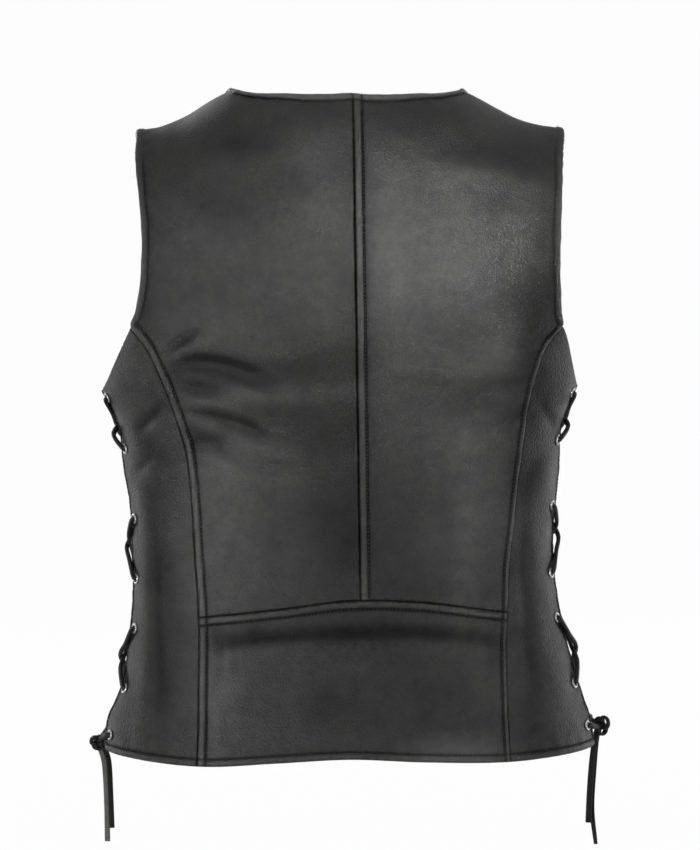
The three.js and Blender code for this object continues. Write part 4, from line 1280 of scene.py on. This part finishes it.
def make_tail(tail):
    """A free lace end, which turns about itself as it hangs, most of all near its end."""
    line = through(tail["points"], 1.5)
    share = np.linspace(0, 1, len(line))
    turn = lerp(*tail["turn"], share**3)
    facing = np.stack([np.sin(turn), np.cos(turn), np.zeros_like(turn)], -1)
    piece = thong(tail["name"] + "_leather", line, facing, tail["wide"], 1.8, tail["material"])
    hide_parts(tail["name"])


# The camera stands where the photograph's stood: straight behind, 4 degrees above. In metres.
CAMERA_AWAY = 3.2
CAMERA_RISE = math.radians(4)
CAMERA_LEVEL = -0.257
CAMERA_AIM = (0, 0, -0.262)


def aimed(place, target):
    """The turn that points a camera or lamp from a place to a target."""
    return (Vector(target) - Vector(place)).to_track_quat("-Z", "Y").to_euler()


def look_from(place, target):
    """The camera at a place, turned to a target."""
    lens = bpy.data.cameras.new("camera")
    lens.sensor_fit = "HORIZONTAL"
    lens.sensor_width = 36
    lens.lens = 196.86
    lens.clip_end = 60
    camera = bpy.data.objects.new("camera", lens)
    camera.location = place
    camera.rotation_euler = aimed(place, target)
    bpy.context.collection.objects.link(camera)
    bpy.context.scene.camera = camera


camera_height = CAMERA_LEVEL + CAMERA_AWAY * math.sin(CAMERA_RISE)
look_from((0, CAMERA_AWAY * math.cos(CAMERA_RISE), camera_height), CAMERA_AIM)

for tail in TAILS:
    make_tail(tail)
for side in SIGN:
    make_knot(side)
    make_lace(side)

shapes = {"waist_band": waist_band()}
for side in SIGN:
    shapes[f"back_{side}"] = back_half(side)
    shapes[f"side_{side}"] = side_panel(side)
    shapes[f"front_{side}"] = front_panel(side)

STITCH_OFF = STRIP_RISE * 0.55
for key, (turn, height, edges, strips, sewn, *lifted) in shapes.items():
    piece = leather_panel(key + "_leather", turn, height, edges, strips, sewn, *lifted)
    part, _, side = key.partition("_")
    if part in ("side", "front"):
        cut_holes(piece, side, "back" if part == "side" else "front")
    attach(piece, "root")
    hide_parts(key)
    over = {"opening": OVERLAP_LIFT} if key == "front_right" else {}
    stitches(key + "_stitches", list(sewn.values()), [STITCH_OFF + over.get(name, 0) for name in sewn])

for side in SIGN:
    for edge in ("back", "front"):
        _, _, centre, normal = eyelet_frames(side, edge)
        rings = turned(EYELET_PROFILE + EYELET_PROFILE[:1], 36, centre + 0.35 * normal, normal)
        eyelets = make_piece(f"eyelets_{side}_{edge}", *rings, STEEL)
        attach(eyelets, "root")
        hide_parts(*[f"eyelet_{side}_{edge}_{row + 1}" for row in range(len(EYELET_HEIGHTS))])

snap_height = np.array([-219.0, -309.0, -399.0, -489.0])
middle = np.full(len(snap_height), 180.0)
snap_normal = form_normal(middle, snap_height)
snap_off = relief(middle, snap_height) + OVERLAP_LIFT + 0.1
snap_centre = form_point(middle, snap_height) + snap_normal * snap_off[:, None]
snaps = make_piece("snap_caps", *turned(SNAP_PROFILE, 44, snap_centre, snap_normal), STEEL)
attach(snaps, "root")
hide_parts(*[f"snap_{i}" for i in range(1, 5)])


# Studio: a round pale floor that curves up far away, and soft lamps. In metres.
FLOOR_HEIGHT = -0.74
FLOOR_BEND = 2.4
LAMP_AWAY = 2.8
VEST_MIDDLE = (0, 0.03, -0.26)


def studio_floor():
    """A flat round that turns up through a quarter circle at its rim, turned about the upright axis."""
    bend = np.radians(np.linspace(0, 80, 12))
    radius = np.concatenate([[0.00002, 1, 2.5, 4.5], 4.8 + FLOOR_BEND * np.sin(bend)])[:, None]
    height = (np.concatenate([np.zeros(4), FLOOR_BEND * (1 - np.cos(bend))]) + FLOOR_HEIGHT)[:, None]
    angle = np.linspace(0, 2 * np.pi, 72, endpoint=False)
    points = np.broadcast_arrays(radius * np.cos(angle), radius * np.sin(angle), height)
    points = np.stack(points, -1).reshape(-1, 3) / METRE
    material, tree, shader = new_material("pale studio floor", (0.86, 0.86, 0.86), 0.7, specular=0.2)
    cloud, _ = noise(tree, object_place(tree), 1.5, 2.0)
    tree.links.new(ranged(tree, cloud, new=(0.84, 0.88)), shader.inputs["Base Color"])
    glow = node(tree, "ShaderNodeEmission", {"Color": (1, 1, 1, 1), "Strength": 1.0})
    eye = math_node(tree, "MULTIPLY", node(tree, "ShaderNodeLightPath").outputs["Is Camera Ray"], 0.97)
    seen = node(tree, "ShaderNodeMixShader", {0: eye, 1: shader.outputs[0], 2: glow.outputs[0]})
    tree.links.new(seen.outputs[0], tree.nodes["Material Output"].inputs["Surface"])
    floor = make_piece("studio_floor", points, grid_faces(len(radius), len(angle), True).tolist(), material)


def lamp(name, azimuth, elevation, power, size=0.7, spread=180, aim=VEST_MIDDLE):
    """A soft round lamp. The azimuth goes from behind the wearer to their left."""
    light = bpy.data.lights.new(name, "AREA")
    light.shape = "DISK"
    light.spread = math.radians(spread)
    light.size = size
    light.energy = power
    across, up = math.radians(azimuth), math.radians(elevation)
    way = Vector((math.sin(across) * math.cos(up), math.cos(across) * math.cos(up), math.sin(up)))
    thing = bpy.data.objects.new(name, light)
    thing.location = Vector(VEST_MIDDLE) + LAMP_AWAY * way
    thing.rotation_euler = aimed(thing.location, aim)
    bpy.context.collection.objects.link(thing)


studio_floor()
HIGH_LEFT = (0.08, 0.05, -0.12)
HIGH_RIGHT = (-0.08, 0.05, -0.1)
lamp("low left lamp", 42, -6, 11)
lamp("high left lamp", 30, 19, 4, 0.5)
lamp("right lamp", -66, 8, 3.5)
lamp("top lamp", 0, 60, 6)
lamp("left rim lamp", 122, -4, 8)
lamp("right rim lamp", -120, -4, 11)
lamp("key spot", -24, 5, 0.25, 0.35, 11, HIGH_RIGHT)
lamp("left spot", 28, -5, 0.08, 0.35, 12, HIGH_LEFT)
lamp("middle spot", -20, 5, 0.07, 0.35, 10, (0.03, 0.05, -0.1))
lamp("high spot", 14, 6, 0.03, 0.4, 12, HIGH_RIGHT)
lamp("low spot", 30, -5, 0.07, 0.35, 10, (0.1, 0.05, -0.4))
lamp("low right spot", -36, -5, 0.05, 0.35, 10, (-0.1, 0.05, -0.36))
lamp("front left lamp", 150, 18, 14)
lamp("front right lamp", -158, 10, 9)
world = bpy.data.worlds.new("studio")
world.use_nodes = True
world.node_tree.nodes["Background"].inputs["Color"].default_value = (1, 1, 1, 1)
world.node_tree.nodes["Background"].inputs["Strength"].default_value = 0.35
bpy.context.scene.world = world
bpy.context.scene.view_settings.view_transform = "Standard"
